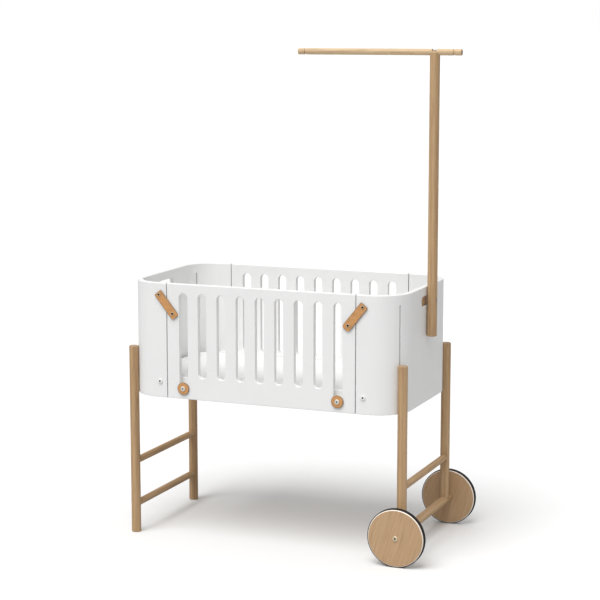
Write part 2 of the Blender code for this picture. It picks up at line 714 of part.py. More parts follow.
def make_wheels():
    """Each wheel turns on a bolt screwed into the end of the axle bar."""
    for name, depth, parent in (("front", -1, FRONT_WHEEL), ("back", 1, BACK_WHEEL)):
        out = Y_AXIS * depth
        half = WHEEL_THICKNESS / 2
        middle = at(LEG_X, depth * (WHEEL_FACE_Y - half), AXLE_Z)
        rim = WHEEL_RADIUS - TYRE_THICKNESS - GAP
        hole = WHEEL_BOLT_SHANK + WHEEL_PLAY
        flat = rim - WHEEL_CHAMFER
        side = half - WHEEL_CHAMFER
        profile = [(flat, half), (rim, side), (rim, -side), (flat, -half),
                   (hole, -half), (hole, half)]
        turned(name + "_wheel_disc", profile, along(middle, out), OAK, parent,
               WHEEL_STEPS, ring=True)
        half = TYRE_WIDTH / 2
        inner = WHEEL_RADIUS - TYRE_THICKNESS
        shoulder = WHEEL_RADIUS - TYRE_CROWN
        tread = half - 2 * TYRE_CROWN
        profile = [(shoulder, half), (WHEEL_RADIUS, tread), (WHEEL_RADIUS, -tread),
                   (shoulder, -half), (inner, -half), (inner, half)]
        turned(name + "_wheel_tyre", profile, along(middle, out), RUBBER, parent,
               WHEEL_STEPS, ring=True)
        turned(name + "_wheel_bolt",
               screw_profile(WHEEL_BOLT_HEAD, WHEEL_BOLT_SHANK,
                             WHEEL_THICKNESS + WHEEL_BOLT_BITE),
               along(at(LEG_X, depth * (WHEEL_FACE_Y + GAP), AXLE_Z), out),
               BRASS, RIGHT_LEGS, 16)


# ---------------------------------------------------------------- canopy holder

def make_canopy_pole():
    pole = rod("canopy_pole", at(POLE_X, 0, POLE_BOTTOM), at(POLE_X, 0, ROD_Z), POLE_RADIUS,
               OAK, BODY, 32)
    saddle = 2 * POLE_RADIUS
    drill(pole, at(POLE_X - saddle, 0, ROD_Z), at(POLE_X + saddle, 0, ROD_Z),
          ROD_RADIUS + GAP, 24)
    drill(pole, at(POLE_X, 0, ROD_Z - ROD_SCREW_LENGTH), at(POLE_X, 0, ROD_Z),
          STUD_SHANK + CLEARANCE)
    drill(pole, at(POLE_X - saddle, 0, HANDLE_Z), at(POLE_X + saddle, 0, HANDLE_Z),
          CLAMP_SHANK + CLEARANCE)
    drill(pole, at(RECESS_SEAT, 0, HANDLE_Z), at(POLE_X + saddle, 0, HANDLE_Z),
          RECESS_RADIUS, 16)


def make_canopy_rod():
    """Turned rod with a ring groove near each end and a notch over the pole."""
    length = ROD_END - ROD_START
    end_radius = ROD_RADIUS - ROD_CHAMFER
    profile = [(0, length), (end_radius, length), (ROD_RADIUS, length - ROD_CHAMFER)]
    for middle in (length - ROD_GROOVE, ROD_GROOVE):
        profile += [(ROD_RADIUS, middle + GROOVE_HALF_WIDTH),
                    (ROD_RADIUS - GROOVE_DEPTH, middle),
                    (ROD_RADIUS, middle - GROOVE_HALF_WIDTH)]
    profile += [(ROD_RADIUS, ROD_CHAMFER), (end_radius, 0), (0, 0)]
    bar = turned("canopy_rod", profile, along(at(ROD_START, 0, ROD_Z), X_AXIS), OAK, BODY, 24)
    seat_z = ROD_Z + ROD_RADIUS - NOTCH_DEPTH
    half = NOTCH_WIDTH / 2
    sky = ROD_Z + 2 * ROD_RADIUS
    outline = [(POLE_X - half, seat_z), (POLE_X + half, seat_z), (POLE_X + half, sky),
               (POLE_X - half, sky)]
    cut(bar, board("canopy_rod_notch", [outline], 4 * ROD_RADIUS, upright(0)))
    drill(bar, at(POLE_X, 0, ROD_Z - 2 * ROD_RADIUS), at(POLE_X, 0, sky),
          STUD_SHANK + CLEARANCE)
    turned("canopy_rod_screw", screw_profile(ROD_SCREW_HEAD, STUD_SHANK, ROD_SCREW_LENGTH),
           along(at(POLE_X, 0, seat_z + GAP), Z_AXIS), STEEL, BODY, 12)


def make_canopy_clamp():
    """Block that fills the handle hole, a plate inside, and a bolt from the pole."""
    outer = BODY_LENGTH / 2 - BLOCK_SETBACK
    hole = circle(0, HANDLE_Z, CLAMP_SHANK + CLEARANCE)
    outline = flat_slot(HANDLE_Z, HANDLE_LENGTH - BLOCK_PLAY, HANDLE_HEIGHT - BLOCK_PLAY)
    place = basis(at((outer + INNER_X) / 2, 0, 0), Y_AXIS, Z_AXIS)
    board("canopy_clamp_block", [outline, hole], outer - INNER_X, place, OAK, BODY)

    more_length, more_height = POLE_PLATE_OVERLAP
    outline = flat_slot(HANDLE_Z, HANDLE_LENGTH + more_length, HANDLE_HEIGHT + more_height)
    place = basis(at((PLATE_OUTER + PLATE_INNER) / 2, 0, 0), Y_AXIS, Z_AXIS)
    board("canopy_clamp_plate", [outline, hole], POLE_PLATE_THICKNESS, place, OAK, BODY)

    nut_face = PLATE_INNER - GAP - NUT_THICKNESS
    turned("canopy_clamp_nut",
           ring_profile(NUT_RADIUS, CLAMP_SHANK + CLEARANCE, NUT_THICKNESS),
           along(at(PLATE_INNER - GAP, 0, HANDLE_Z), -X_AXIS), STEEL, BODY, 16, ring=True)
    seat = RECESS_SEAT + GAP
    turned("canopy_clamp_bolt",
           screw_profile(CLAMP_BOLT_HEAD, CLAMP_SHANK, seat - nut_face - CLEARANCE),
           along(at(seat, 0, HANDLE_Z), X_AXIS), STEEL, BODY, 12)


make_end_panel("left_end_panel", -1)
make_end_panel("right_end_panel", 1)
make_back_panel()
make_drop_side()
make_base()
make_body_screws()
make_guides()
make_straps()
make_left_legs()
make_right_legs()
make_wheels()
make_canopy_pole()
make_canopy_rod()
make_canopy_clamp()
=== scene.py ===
"""Looks of the baby crib: white lacquered body, oiled oak, leather and mattress,
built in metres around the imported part, in its own frame."""
import json
import math
from collections import namedtuple

import bmesh
import bpy
import numpy as np
from mathutils import Matrix, Vector, geometry, noise
from mathutils.bvhtree import BVHTree


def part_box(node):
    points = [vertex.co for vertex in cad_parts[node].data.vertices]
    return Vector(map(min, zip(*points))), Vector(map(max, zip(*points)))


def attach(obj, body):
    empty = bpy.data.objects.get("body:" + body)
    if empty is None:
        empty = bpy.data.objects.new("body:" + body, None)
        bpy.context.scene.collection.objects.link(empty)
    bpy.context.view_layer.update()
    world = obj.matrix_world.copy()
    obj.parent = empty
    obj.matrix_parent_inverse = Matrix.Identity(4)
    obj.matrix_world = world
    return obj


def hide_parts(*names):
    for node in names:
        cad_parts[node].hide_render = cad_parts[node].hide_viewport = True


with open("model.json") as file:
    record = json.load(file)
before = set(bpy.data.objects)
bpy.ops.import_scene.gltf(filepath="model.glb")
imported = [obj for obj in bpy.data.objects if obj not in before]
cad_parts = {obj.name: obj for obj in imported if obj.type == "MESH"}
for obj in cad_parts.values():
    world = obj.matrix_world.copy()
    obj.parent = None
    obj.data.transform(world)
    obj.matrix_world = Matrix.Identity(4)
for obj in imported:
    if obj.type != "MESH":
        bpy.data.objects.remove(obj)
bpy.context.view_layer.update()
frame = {"nodes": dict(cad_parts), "record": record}

X_AXIS = Vector((1, 0, 0))
Y_AXIS = Vector((0, 1, 0))
Z_AXIS = Vector((0, 0, 1))

BODY_OF = {}
for body_name, member_nodes in frame["record"]["behaviour"]["bodies"].items():
    for member in member_nodes:
        BODY_OF[member] = body_name

# The body, read from the frame
LEFT_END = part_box("left_end_panel")
RIGHT_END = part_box("right_end_panel")
DROP_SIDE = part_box("drop_side_panel")
CENTRE_X = (LEFT_END[0].x + RIGHT_END[1].x) / 2
HALF_LENGTH = (RIGHT_END[1].x - LEFT_END[0].x) / 2
HALF_WIDTH = RIGHT_END[1].y
BODY_TOP = RIGHT_END[1].z
BODY_BOTTOM = RIGHT_END[0].z
END_START = RIGHT_END[0].x - CENTRE_X
PANEL_END = DROP_SIDE[1].x - CENTRE_X
WALL = DROP_SIDE[1].y - DROP_SIDE[0].y
GUIDE_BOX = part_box("right_guide_disc")
GUIDE_X = (GUIDE_BOX[0].x + GUIDE_BOX[1].x) / 2 - CENTRE_X
GUIDE_Z = (GUIDE_BOX[0].z + GUIDE_BOX[1].z) / 2

# The body's own design, as in the CAD
CORNER_RADIUS = 0.096
SLOT_COUNT = 9
SLOT_PITCH = 2 * GUIDE_X / (SLOT_COUNT - 1)
SLOT_WIDTH = 0.026
SLOT_TOP = 0.7235
SLOT_BOTTOM = 0.4805
SLIT_WIDTH = 0.005
SLIT_TOP = 0.722
SLIT_BOTTOM = 0.4935
LEG_ANGLE = math.radians(33.25)
HANDLE_Z = 0.710
HANDLE_LENGTH = 0.100
HANDLE_HEIGHT = 0.028
STRAP_ANGLE = math.radians(38.8)
STRAP_SPAN = 0.068
STRAP_WIDTH = 0.0255
STRAP_TOP_MARGIN = 0.0075
STRAP_END_MARGIN = 0.0147
BLOCK_PLAY = 0.0012
PLATE_OVERLAP = (0.026, 0.018)

# Rounded edges
TOP_EDGE = 0.0024
BOTTOM_EDGE = 0.0020
SEAM_EDGE = 0.0007
SLOT_EDGE = 0.0014
SLIT_EDGE = 0.0004
ROUND_STEPS = 4
BAR_STEPS = 5
RING_STEPS = 4
WOOD_EDGE = 0.0024
SHARP_ANGLE = math.radians(38)


# ---------------------------------------------------------------- camera, light, floor

CAMERA_PLACE = Vector((1.9202, -4.7184, 1.4806))
CAMERA_AIM = Vector((-0.37449, 0.91439, -0.15378))
CAMERA_LENS = 106.89
CAMERA_SENSOR = 36.0
CAMERA_REACH = 1500.0

SUN_ELEVATION = math.radians(60)
SUN_SWING = math.radians(8)
SUN_SPREAD = math.radians(45)
SUN_STRENGTH = 2.5
SKY_STRENGTH = (0.34, 0.84)
BACKDROP_STRENGTH = 1.0
FLOOR_SEEN = (0.80, 0.80, 0.80)
FLOOR_BOUNCE = (0.50, 0.50, 0.50)
FLOOR_SIZE = 600.0
FLOOR_ROUGHNESS = 0.9
FLOOR_SHINE = 0.1


def new_object(name, data):
    made = bpy.data.objects.new(name, data)
    bpy.context.scene.collection.objects.link(made)
    return made


def make_camera():
    data = bpy.data.cameras.new("camera")
    data.lens = CAMERA_LENS
    data.sensor_width = CAMERA_SENSOR
    data.clip_end = CAMERA_REACH
    camera = new_object("camera", data)
    camera.location = CAMERA_PLACE
    camera.rotation_euler = CAMERA_AIM.to_track_quat("-Z", "Y").to_euler()
    bpy.context.scene.camera = camera


def make_light():
    """One very soft sun from above the drop side, and a pale sky, brighter above."""
    data = bpy.data.lights.new("sun", "SUN")
    data.energy = SUN_STRENGTH
    data.angle = SUN_SPREAD
    sun = new_object("sun", data)
    level = math.cos(SUN_ELEVATION)
    travel = Vector((math.sin(SUN_SWING) * level, math.cos(SUN_SWING) * level,
                     -math.sin(SUN_ELEVATION)))
    sun.rotation_euler = travel.to_track_quat("-Z", "Y").to_euler()

    world = bpy.data.worlds.new("studio")
    world.use_nodes = True
    bpy.context.scene.world = world
    nodes = world.node_tree.nodes
    links = world.node_tree.links
    sky = nodes["Background"]
    sky.inputs["Color"].default_value = (1, 1, 1, 1)
    source = nodes.new("ShaderNodeTexCoord")
    parts = nodes.new("ShaderNodeSeparateXYZ")
    rise = nodes.new("ShaderNodeMapRange")
    rise.inputs["To Min"].default_value = SKY_STRENGTH[0]
    rise.inputs["To Max"].default_value = SKY_STRENGTH[1]
    links.new(source.outputs["Generated"], parts.inputs["Vector"])
    links.new(parts.outputs["Z"], rise.inputs["Value"])
    links.new(rise.outputs["Result"], sky.inputs["Strength"])
    backdrop = nodes.new("ShaderNodeBackground")
    backdrop.inputs["Strength"].default_value = BACKDROP_STRENGTH
    backdrop.inputs["Color"].default_value = (1, 1, 1, 1)
    rays = nodes.new("ShaderNodeLightPath")
    mix = nodes.new("ShaderNodeMixShader")
    links.new(rays.outputs["Is Camera Ray"], mix.inputs["Fac"])
    links.new(sky.outputs["Background"], mix.inputs[1])
    links.new(backdrop.outputs["Background"], mix.inputs[2])
    links.new(mix.outputs["Shader"], nodes["World Output"].inputs["Surface"])


def make_floor():
    """A pale floor, which shows the camera more light than it bounces."""
    mesh = bpy.data.meshes.new("floor")
    half = FLOOR_SIZE / 2
    corners = [(-half, -half, 0), (half, -half, 0), (half, half, 0), (-half, half, 0)]
    mesh.from_pydata(corners, [], [(0, 1, 2, 3)])
    surface = Surface("floor", FLOOR_BOUNCE, FLOOR_ROUGHNESS)
    surface.set("Specular IOR Level", FLOOR_SHINE)
    seen = surface.node("LightPath", {}).outputs["Is Camera Ray"]
    surface.set("Base Color", surface.mix(seen, (*FLOOR_BOUNCE, 1), (*FLOOR_SEEN, 1)))
    mesh.materials.append(surface.material)
    new_object("floor", mesh)


# ---------------------------------------------------------------- materials

class Surface:
    """A material being wired up, with short calls for the nodes used here."""

    def __init__(self, name, colour, roughness, metallic=0.0):
        self.material = bpy.data.materials.new(name)
        self.material.use_nodes = True
        self.tree = self.material.node_tree
        self.shader = self.tree.nodes["Principled BSDF"]
        self.set("Base Color", (*colour, 1))
        self.set("Roughness", roughness)
        self.set("Metallic", metallic)
        self.relief = None

    def feed(self, socket, value):
        if isinstance(value, bpy.types.NodeSocket):
            self.tree.links.new(value, socket)
        else:
            socket.default_value = value

    def set(self, name, value):
        self.feed(self.shader.inputs[name], value)

    def node(self, kind, inputs, **settings):
        """A new node with its settings, and its inputs by name or number."""
        node = self.tree.nodes.new("ShaderNode" + kind)
        for name, value in settings.items():
            setattr(node, name, value)
        for name, value in inputs.items():
            self.feed(node.inputs[name], value)
        return node

    def coordinates(self, stretch=(1, 1, 1), turn=(0, 0, 0)):
        """The piece's own coordinates, turned first and stretched after."""
        place = self.node("TexCoord", {}).outputs["Object"]
        turned = self.node("Mapping", {"Vector": place, "Rotation": turn}).outputs[0]
        return self.node("Mapping", {"Vector": turned, "Scale": stretch}).outputs[0]

    def attribute(self, name):
        return self.node("Attribute", {}, attribute_name=name).outputs["Fac"]

    def facing(self, axis):
        """How far the surface faces along the piece's own axis, 0 to 1."""
        normal = self.node("TexCoord", {}).outputs["Normal"]
        return self.maths("ABSOLUTE", self.node("SeparateXYZ", {"Vector": normal}).outputs[axis])

    def noise(self, vector, scale, detail=2.0, roughness=0.5, distortion=0.0):
        inputs = {"Vector": vector, "Scale": scale, "Detail": detail, "Roughness": roughness,
                  "Distortion": distortion}
        return self.node("TexNoise", inputs).outputs["Fac"]

    def cells(self, vector, scale):
        inputs = {"Vector": vector, "Scale": scale}
        return self.node("TexVoronoi", inputs, feature="SMOOTH_F1").outputs["Distance"]

    def wave(self, vector, scale, direction, distortion=0.0, kind="BANDS"):
        """Bands across one axis, or rings round it."""
        inputs = {"Vector": vector, "Scale": scale, "Distortion": distortion, "Detail": 3.0,
                  "Detail Scale": 1.5}
        return self.node("TexWave", inputs, wave_type=kind, bands_direction=direction,
                         rings_direction=direction).outputs["Fac"]

    def maths(self, operation, first, second=0.0):
        return self.node("Math", {0: first, 1: second}, operation=operation).outputs[0]

    def between(self, value, low, high, start=0.0, end=1.0):
        """value from low to high, spread smoothly over start to end."""
        inputs = {"Value": value, "From Min": low, "From Max": high, "To Min": start,
                  "To Max": end}
        return self.node("MapRange", inputs, interpolation_type="SMOOTHSTEP").outputs["Result"]

    def ramp(self, factor, *stops):
        node = self.node("ValToRGB", {"Fac": factor})
        elements = node.color_ramp.elements
        while len(elements) < len(stops):
            elements.new(0.5)
        for element, (position, colour) in zip(elements, stops):
            element.position = position
            element.color = (*colour, 1)
        return node.outputs["Color"]

    def tinted(self, value, colour, low, high, start=0.3, end=0.7):
        """A colour from low to high times as bright, as value goes from start to end."""
        dark, light = shades(colour, low, high)
        return self.ramp(value, (start, dark), (end, light))

    def total(self, *parts):
        """The sum of values, each times its weight."""
        result = 0.0
        for value, weight in parts:
            result = self.maths("ADD", result, self.maths("MULTIPLY", value, weight))
        return result

    def mix(self, factor, first, second):
        """From the first colour to the second as factor goes from 0 to 1."""
        inputs = {0: factor, 6: first, 7: second}
        return self.node("Mix", inputs, data_type="RGBA").outputs[2]

    def bump(self, height, distance, strength=1.0):
        """One more layer of relief, laid over the layers before it."""
        inputs = {"Strength": strength, "Distance": distance, "Height": height}
        if self.relief is not None:
            inputs["Normal"] = self.relief
        self.relief = self.node("Bump", inputs).outputs["Normal"]
        self.set("Normal", self.relief)


def shades(colour, low, high):
    """The same colour a little darker and a little lighter."""
    dark = tuple(part * low for part in colour)
    light = tuple(min(part * high, 1.0) for part in colour)
    return dark, light


def make_lacquer(name, colour, roughness):
    """Sprayed satin lacquer: a fine orange peel and barely uneven gloss."""
    surface = Surface(name, colour, roughness)
    place = surface.coordinates()
    cloud = surface.noise(place, 9.0, 3.0)
    surface.set("Base Color", surface.tinted(cloud, colour, 0.985, 1.01))
    gloss = surface.noise(place, 55.0, 3.0)
    surface.set("Roughness", surface.between(gloss, 0.3, 0.7, roughness - 0.04, roughness + 0.05))
    surface.bump(surface.noise(place, 420.0, 2.0), 0.0002, 0.12)
    surface.bump(surface.noise(place, 1600.0, 1.0), 0.0001, 0.08)
    return surface.material


OAK_DARK = (0.318, 0.189, 0.090)
OAK_MID = (0.458, 0.293, 0.151)
OAK_LIGHT = (0.560, 0.377, 0.209)
OAK_PORE = (0.215, 0.128, 0.066)
OAK_END = (0.400, 0.280, 0.180)
# Painted highlight: a near-white tone laid on the wheels' chamfers for the light they catch.
OAK_PAINTED_HIGHLIGHT = (0.900, 0.830, 0.740)


def make_oak(name, grain, across, turn=(0, 0, 0), tone=(1, 1, 1), contrast=1.0, fineness=1.0,
             painted_highlight_axis=None):
    """Oiled oak with its grain along one axis: growth bands, fibres, open pores
    and rays, with end grain where the surface faces along the grain, and a painted
    highlight, near white, on the chamfers of a turned piece that faces along painted_highlight_axis."""
    surface = Surface(name, OAK_MID, 0.55)
    stretch = [1.0, 1.0, 1.0]
    stretch[grain] = 0.045
    fine = [1.0, 1.0, 1.0]
    fine[grain] = 0.022
    long = surface.coordinates(stretch, turn)
    short = surface.coordinates(fine, turn)

    bands = surface.wave(long, 26.0 * fineness, "XYZ"[across], 5.5)
    streaks = surface.noise(long, 95.0 * fineness, 5.0, 0.62, 0.4)
    broad = surface.noise(long, 22.0 * fineness, 2.0, 0.5)
    fibres = surface.noise(short, 900.0, 3.0, 0.6)
    tone_value = surface.total((streaks, 0.46), (bands, 0.10), (broad, 0.18), (fibres, 0.26))
    colours = []
    for colour in (OAK_DARK, OAK_MID, OAK_LIGHT):
        colours.append(tuple((middle + (part - middle) * contrast) * share
                             for part, middle, share in zip(colour, OAK_MID, tone)))
    body = surface.ramp(tone_value, (0.30, colours[0]), (0.50, colours[1]), (0.68, colours[2]))

    pore_noise = surface.noise(short, 620.0, 1.0, 0.4)
    pores = surface.between(pore_noise, 0.60, 0.70)
    pores = surface.maths("MULTIPLY", pores,
                          surface.between(streaks, 0.62, 0.38, 0.15 * contrast, 0.8 * contrast))
    body = surface.mix(pores, body, (*OAK_PORE, 1))

    plain = surface.coordinates((1, 1, 1), turn)
    rings = surface.wave(plain, 70.0, "XYZ"[grain], 3.0, "RINGS")
    speckle = surface.noise(plain, 1500.0, 2.0)
    end_value = surface.total((rings, 0.5), (speckle, 0.5))
    ends = surface.tinted(end_value, OAK_END, 0.72, 1.15, 0.25, 0.75)
    facing = surface.between(surface.facing(grain), 0.55, 0.92)
    surface.set("Base Color", surface.mix(facing, body, ends))
    # Painted highlight: chamfers that slope against this axis are painted near white, for the light
    # they catch.
    if painted_highlight_axis is not None:
        flat = surface.facing(painted_highlight_axis)
        slope = surface.maths("MULTIPLY", surface.between(flat, 0.35, 0.60),
                              surface.between(flat, 0.97, 0.85))
        surface.set("Base Color", surface.mix(slope, body, (*OAK_PAINTED_HIGHLIGHT, 1)))
    surface.set("Roughness", surface.between(streaks, 0.3, 0.7, 0.62, 0.48))
    surface.bump(fibres, 0.00012, 0.5)
    surface.bump(surface.maths("SUBTRACT", 1.0, pores), 0.00015, 0.6)
    return surface.material


def make_plywood():
    """Birch plywood: pale veneer on its faces, thin layers on its edges."""
    face = (0.66, 0.52, 0.36)
    surface = Surface("plywood", face, 0.62)
    veneer = surface.coordinates((0.05, 1, 1))
    streaks = surface.noise(veneer, 60.0, 5.0, 0.6, 0.6)
    top = surface.tinted(streaks, face, 0.86, 1.08)
    layers = surface.wave(surface.coordinates(), 112.0, "Z", 0.4)
    edge = surface.tinted(layers, face, 0.58, 1.0, 0.35, 0.65)
    facing = surface.between(surface.facing(2), 0.4, 0.8)
    surface.set("Base Color", surface.mix(facing, edge, top))
    surface.bump(surface.noise(veneer, 500.0, 3.0), 0.0002, 0.3)
    return surface.material


def make_leather():
    """Tan bridle leather: pebbled grain, mottled dye and darker burnished edges."""
    tan = (0.585, 0.290, 0.105)
    fleck_colour = (0.300, 0.135, 0.045, 1)
    fibre_dark = (0.185, 0.112, 0.062)
    fibre_light = (0.335, 0.225, 0.145)
    burnish = (0.300, 0.178, 0.096, 1)
    surface = Surface("leather", tan, 0.5)
    place = surface.coordinates()
    mottle = surface.noise(place, 90.0, 5.0, 0.6, 0.3)
    dark, light = shades(tan, 0.78, 1.16)
    face = surface.ramp(mottle, (0.28, dark), (0.5, tan), (0.74, light))
    fleck = surface.between(surface.noise(place, 1400.0, 2.0), 0.58, 0.72)
    face = surface.mix(surface.maths("MULTIPLY", fleck, 0.35), face, fleck_colour)
    fibre = surface.noise(surface.coordinates((1, 6, 1)), 700.0, 3.0)
    edge = surface.ramp(fibre, (0.3, fibre_dark), (0.7, fibre_light))
    worn = surface.maths("ADD", surface.attribute("edge_distance"),
                         surface.maths("MULTIPLY", mottle, 0.0016))
    border = surface.between(worn, 0.0042, 0.0016, 0.0, 0.80)
    face = surface.mix(border, face, burnish)
    facing = surface.between(surface.facing(1), 0.45, 0.85)
    surface.set("Base Color", surface.mix(facing, edge, face))
    surface.set("Roughness", surface.between(mottle, 0.3, 0.7, 0.58, 0.42))
    surface.bump(surface.cells(place, 1100.0), 0.0003, 0.35)
    surface.bump(surface.noise(place, 2600.0, 3.0), 0.0001, 0.3)
    return surface.material


def make_cotton():
    """White cotton jersey over foam: a fine square weave and soft fuzz."""
    white = (0.845, 0.845, 0.835)
    surface = Surface("mattress_fabric", white, 0.88)
    surface.set("Sheen Weight", 0.25)
    surface.set("Sheen Roughness", 0.5)
    place = surface.coordinates()
    warp = surface.wave(place, 260.0, "X", 0.25)
    weft = surface.wave(place, 260.0, "Y", 0.25)
    weave = surface.maths("MULTIPLY", warp, weft)
    slub = surface.noise(surface.coordinates((0.08, 1, 1)), 600.0, 3.0)
    tone_value = surface.total((weave, 0.5), (slub, 0.5))
    surface.set("Base Color", surface.tinted(tone_value, white, 0.95, 1.01, 0.2, 0.6))
    surface.bump(weave, 0.00025, 0.35)
    surface.bump(surface.noise(place, 1800.0, 3.0), 0.0001, 0.3)
    return surface.material


def make_rubber():
    """Matt black tyre rubber with a dusty bloom."""
    black = (0.006, 0.006, 0.0065)
    dusty = (0.018, 0.0175, 0.017)
    surface = Surface("tyre", black, 0.66)
    surface.set("Specular IOR Level", 0.25)
    place = surface.coordinates()
    bloom = surface.noise(place, 70.0, 5.0, 0.65)
    surface.set("Base Color", surface.ramp(bloom, (0.35, black), (0.8, dusty)))
    surface.set("Roughness", surface.between(bloom, 0.3, 0.7, 0.56, 0.78))
    surface.bump(surface.noise(place, 2200.0, 2.0), 0.0001, 0.4)
    return surface.material


def make_metal(name, colour, roughness):
    """Turned or plated metal with fine machining marks and slight tarnish."""
    surface = Surface(name, colour, roughness, 1.0)
    place = surface.coordinates()
    tarnish = surface.noise(place, 320.0, 4.0, 0.6)
    surface.set("Base Color", surface.tinted(tarnish, colour, 0.72, 1.08, 0.3, 0.68))
    surface.set("Roughness", surface.between(tarnish, 0.3, 0.7, roughness + 0.12, roughness - 0.05))
    surface.bump(surface.noise(place, 2500.0, 2.0), 0.00005, 0.35)
    return surface.material


def make_nylon():
    """Natural moulded nylon, faintly translucent and satin."""
    colour = (0.80, 0.79, 0.74)
    surface = Surface("nylon", colour, 0.42)
    place = surface.coordinates()
    cloud = surface.noise(place, 160.0, 3.0)
    surface.set("Base Color", surface.tinted(cloud, colour, 0.93, 1.02))
    surface.bump(surface.noise(place, 1500.0, 2.0), 0.0001, 0.2)
    return surface.material


make_camera()
make_light()
make_floor()

WHITE = make_lacquer("white_paint", (0.815, 0.818, 0.812), 0.42)
OAK_UPRIGHT = make_oak("oak_upright", 2, 0)
OAK_DEEP = make_oak("oak_front_to_back", 1, 2)
# Paler oak for the rod and dowels: partly the rod's own paler wood, partly a painted highlight along
# the rod's lit top.
OAK_LONG = make_oak("oak_left_to_right", 0, 2, tone=(1.40, 1.60, 1.85), contrast=0.8)
OAK_WHEEL = make_oak("oak_wheel", 2, 0, (0, math.radians(-16), 0), (1.07, 1.08, 1.16), 0.6, 2.4,
                     painted_highlight_axis=1)
PLYWOOD = make_plywood()
LEATHER = make_leather()
COTTON = make_cotton()
RUBBER = make_rubber()
STEEL = make_metal("steel", (0.62, 0.61, 0.59), 0.32)
BRASS = make_metal("brass", (0.60, 0.43, 0.22), 0.30)
PLATED = make_metal("plated_screws", (0.98, 0.94, 0.87), 0.48)
PALE_BRASS = make_metal("pale_brass", (0.93, 0.82, 0.60), 0.44)
# Painted shade: a near-black metal laid in key holes and dished caps for the shadow inside them.
PAINTED_SHADE_HOLLOW = make_metal("painted_shade_hollow", (0.085, 0.046, 0.030), 0.60)
WHITE_METAL = make_lacquer("white_metal", (0.80, 0.80, 0.79), 0.34)
NYLON = make_nylon()


# ---------------------------------------------------------------- building blocks

def middle_of(node):
    low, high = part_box(node)
    return (low + high) / 2


def along(origin, direction):
    """The matrix of a turned piece whose own Z points along direction."""
    turn = Vector(direction).to_track_quat("Z", "Y").to_matrix().to_4x4()
    return Matrix.Translation(origin) @ turn


def evaluated_mesh(piece):
    bpy.context.view_layer.update()
    depsgraph = bpy.context.evaluated_depsgraph_get()
    return bpy.data.meshes.new_from_object(piece.evaluated_get(depsgraph))


def bake(piece):
    """Apply every modifier on a piece."""
    mesh = evaluated_mesh(piece)
    piece.modifiers.clear()
    piece.data = mesh


def cut(piece, *cutters):
    for cutter in cutters:
        boolean = piece.modifiers.new(cutter.name, "BOOLEAN")
        boolean.operation = "DIFFERENCE"
        boolean.solver = "EXACT"
        boolean.object = cutter
    bake(piece)
    for cutter in cutters:
        bpy.data.objects.remove(cutter, do_unlink=True)


def soften(piece):
    """Smooth shading that keeps flat faces flat beside their rounded edges."""
    piece.data.shade_smooth()
    piece.data.set_sharp_from_angle(angle=SHARP_ANGLE)
    weighted = piece.modifiers.new("normals", "WEIGHTED_NORMAL")
    weighted.keep_sharp = True


def dress(piece, slot, surface, *nodes):
    """Give a piece its material and let it stand for its CAD nodes."""
    piece.data.materials.append(surface)
    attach(piece, BODY_OF[nodes[0]])
    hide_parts(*nodes)


def quarter(steps):
    """Angles from 0 to 90 degrees, both included."""
    return [math.pi / 2 * i / steps for i in range(steps + 1)]


def lathe(name, profile, matrix, steps=64, ring=False, hollow=0):
    """Turn (radius, height) points, outer side top to bottom, about Z.  A third
    value of True makes that ring six-sided.  A ring's profile closes on itself.
    The first hollow stretches take the piece's second material."""
    body = bmesh.new()
    rows = []
    for point in profile:
        radius = point[0]
        height = point[1]
        six_sided = len(point) > 2 and point[2]
        row = []
        count = 1 if radius == 0 else steps
        for i in range(count):
            angle = 2 * math.pi * i / steps
            reach = radius
            if six_sided:
                sixth = math.pi / 3
                reach = radius / math.cos((angle + sixth / 2) % sixth - sixth / 2)
            row.append(body.verts.new((reach * math.cos(angle), reach * math.sin(angle), height)))
        rows.append(row)
    pairs = list(zip(rows, rows[1:]))
    if ring:
        pairs.append((rows[-1], rows[0]))
    for stretch, (upper, lower) in enumerate(pairs):
        for i in range(steps):
            after = (i + 1) % steps
            corners = [upper[i % len(upper)], lower[i % len(lower)],
                       lower[after % len(lower)], upper[after % len(upper)]]
            unique = []
            for corner in corners:
                if corner not in unique:
                    unique.append(corner)
            if len(unique) > 2:
                face = body.faces.new(unique)
                face.material_index = 1 if stretch < hollow else 0
    bmesh.ops.recalc_face_normals(body, faces=body.faces)
    mesh = bpy.data.meshes.new(name)
    body.to_mesh(mesh)
    body.free()
    mesh.transform(matrix)
    return new_object(name, mesh)


def rounded_edge(radius, height, edge, steps, side):
    """Profile points of a quarter round: side 1 at a top edge, -1 at a bottom edge."""
    return [(radius - edge + edge * math.sin(angle),
             height - side * edge + side * edge * math.cos(angle))
            for angle in quarter(steps)[::side]]


def bar_profile(radius, length, edge=WOOD_EDGE):
    """A round bar from 0 to length with rounded ends."""
    return ([(0, length)] + rounded_edge(radius, length, edge, BAR_STEPS, 1)
            + rounded_edge(radius, 0, edge, BAR_STEPS, -1) + [(0, 0)])


def ring_profile(outer, inner, half, edge):
    """A closed ring section about zero height, rounded on its outer edges."""
    return ([(inner, half)] + rounded_edge(outer, half, edge, RING_STEPS, 1)
            + rounded_edge(outer, -half, edge, RING_STEPS, -1) + [(inner, -half)])


def axis_extent(node, axis):
    """Start, end and radius of a round CAD node that lies along an axis."""
    low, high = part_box(node)
    start = (low + high) / 2
    end = start.copy()
    start[axis] = low[axis]
    end[axis] = high[axis]
    side = (axis + 1) % 3
    return start, end, (high[side] - low[side]) / 2


def round_bar(node, axis, edge=WOOD_EDGE, suffix="_turned"):
    start, end, radius = axis_extent(node, axis)
    return lathe(node + suffix, bar_profile(radius, (end - start).length, edge),
                 along(start, end - start))


# ---------------------------------------------------------------- boards

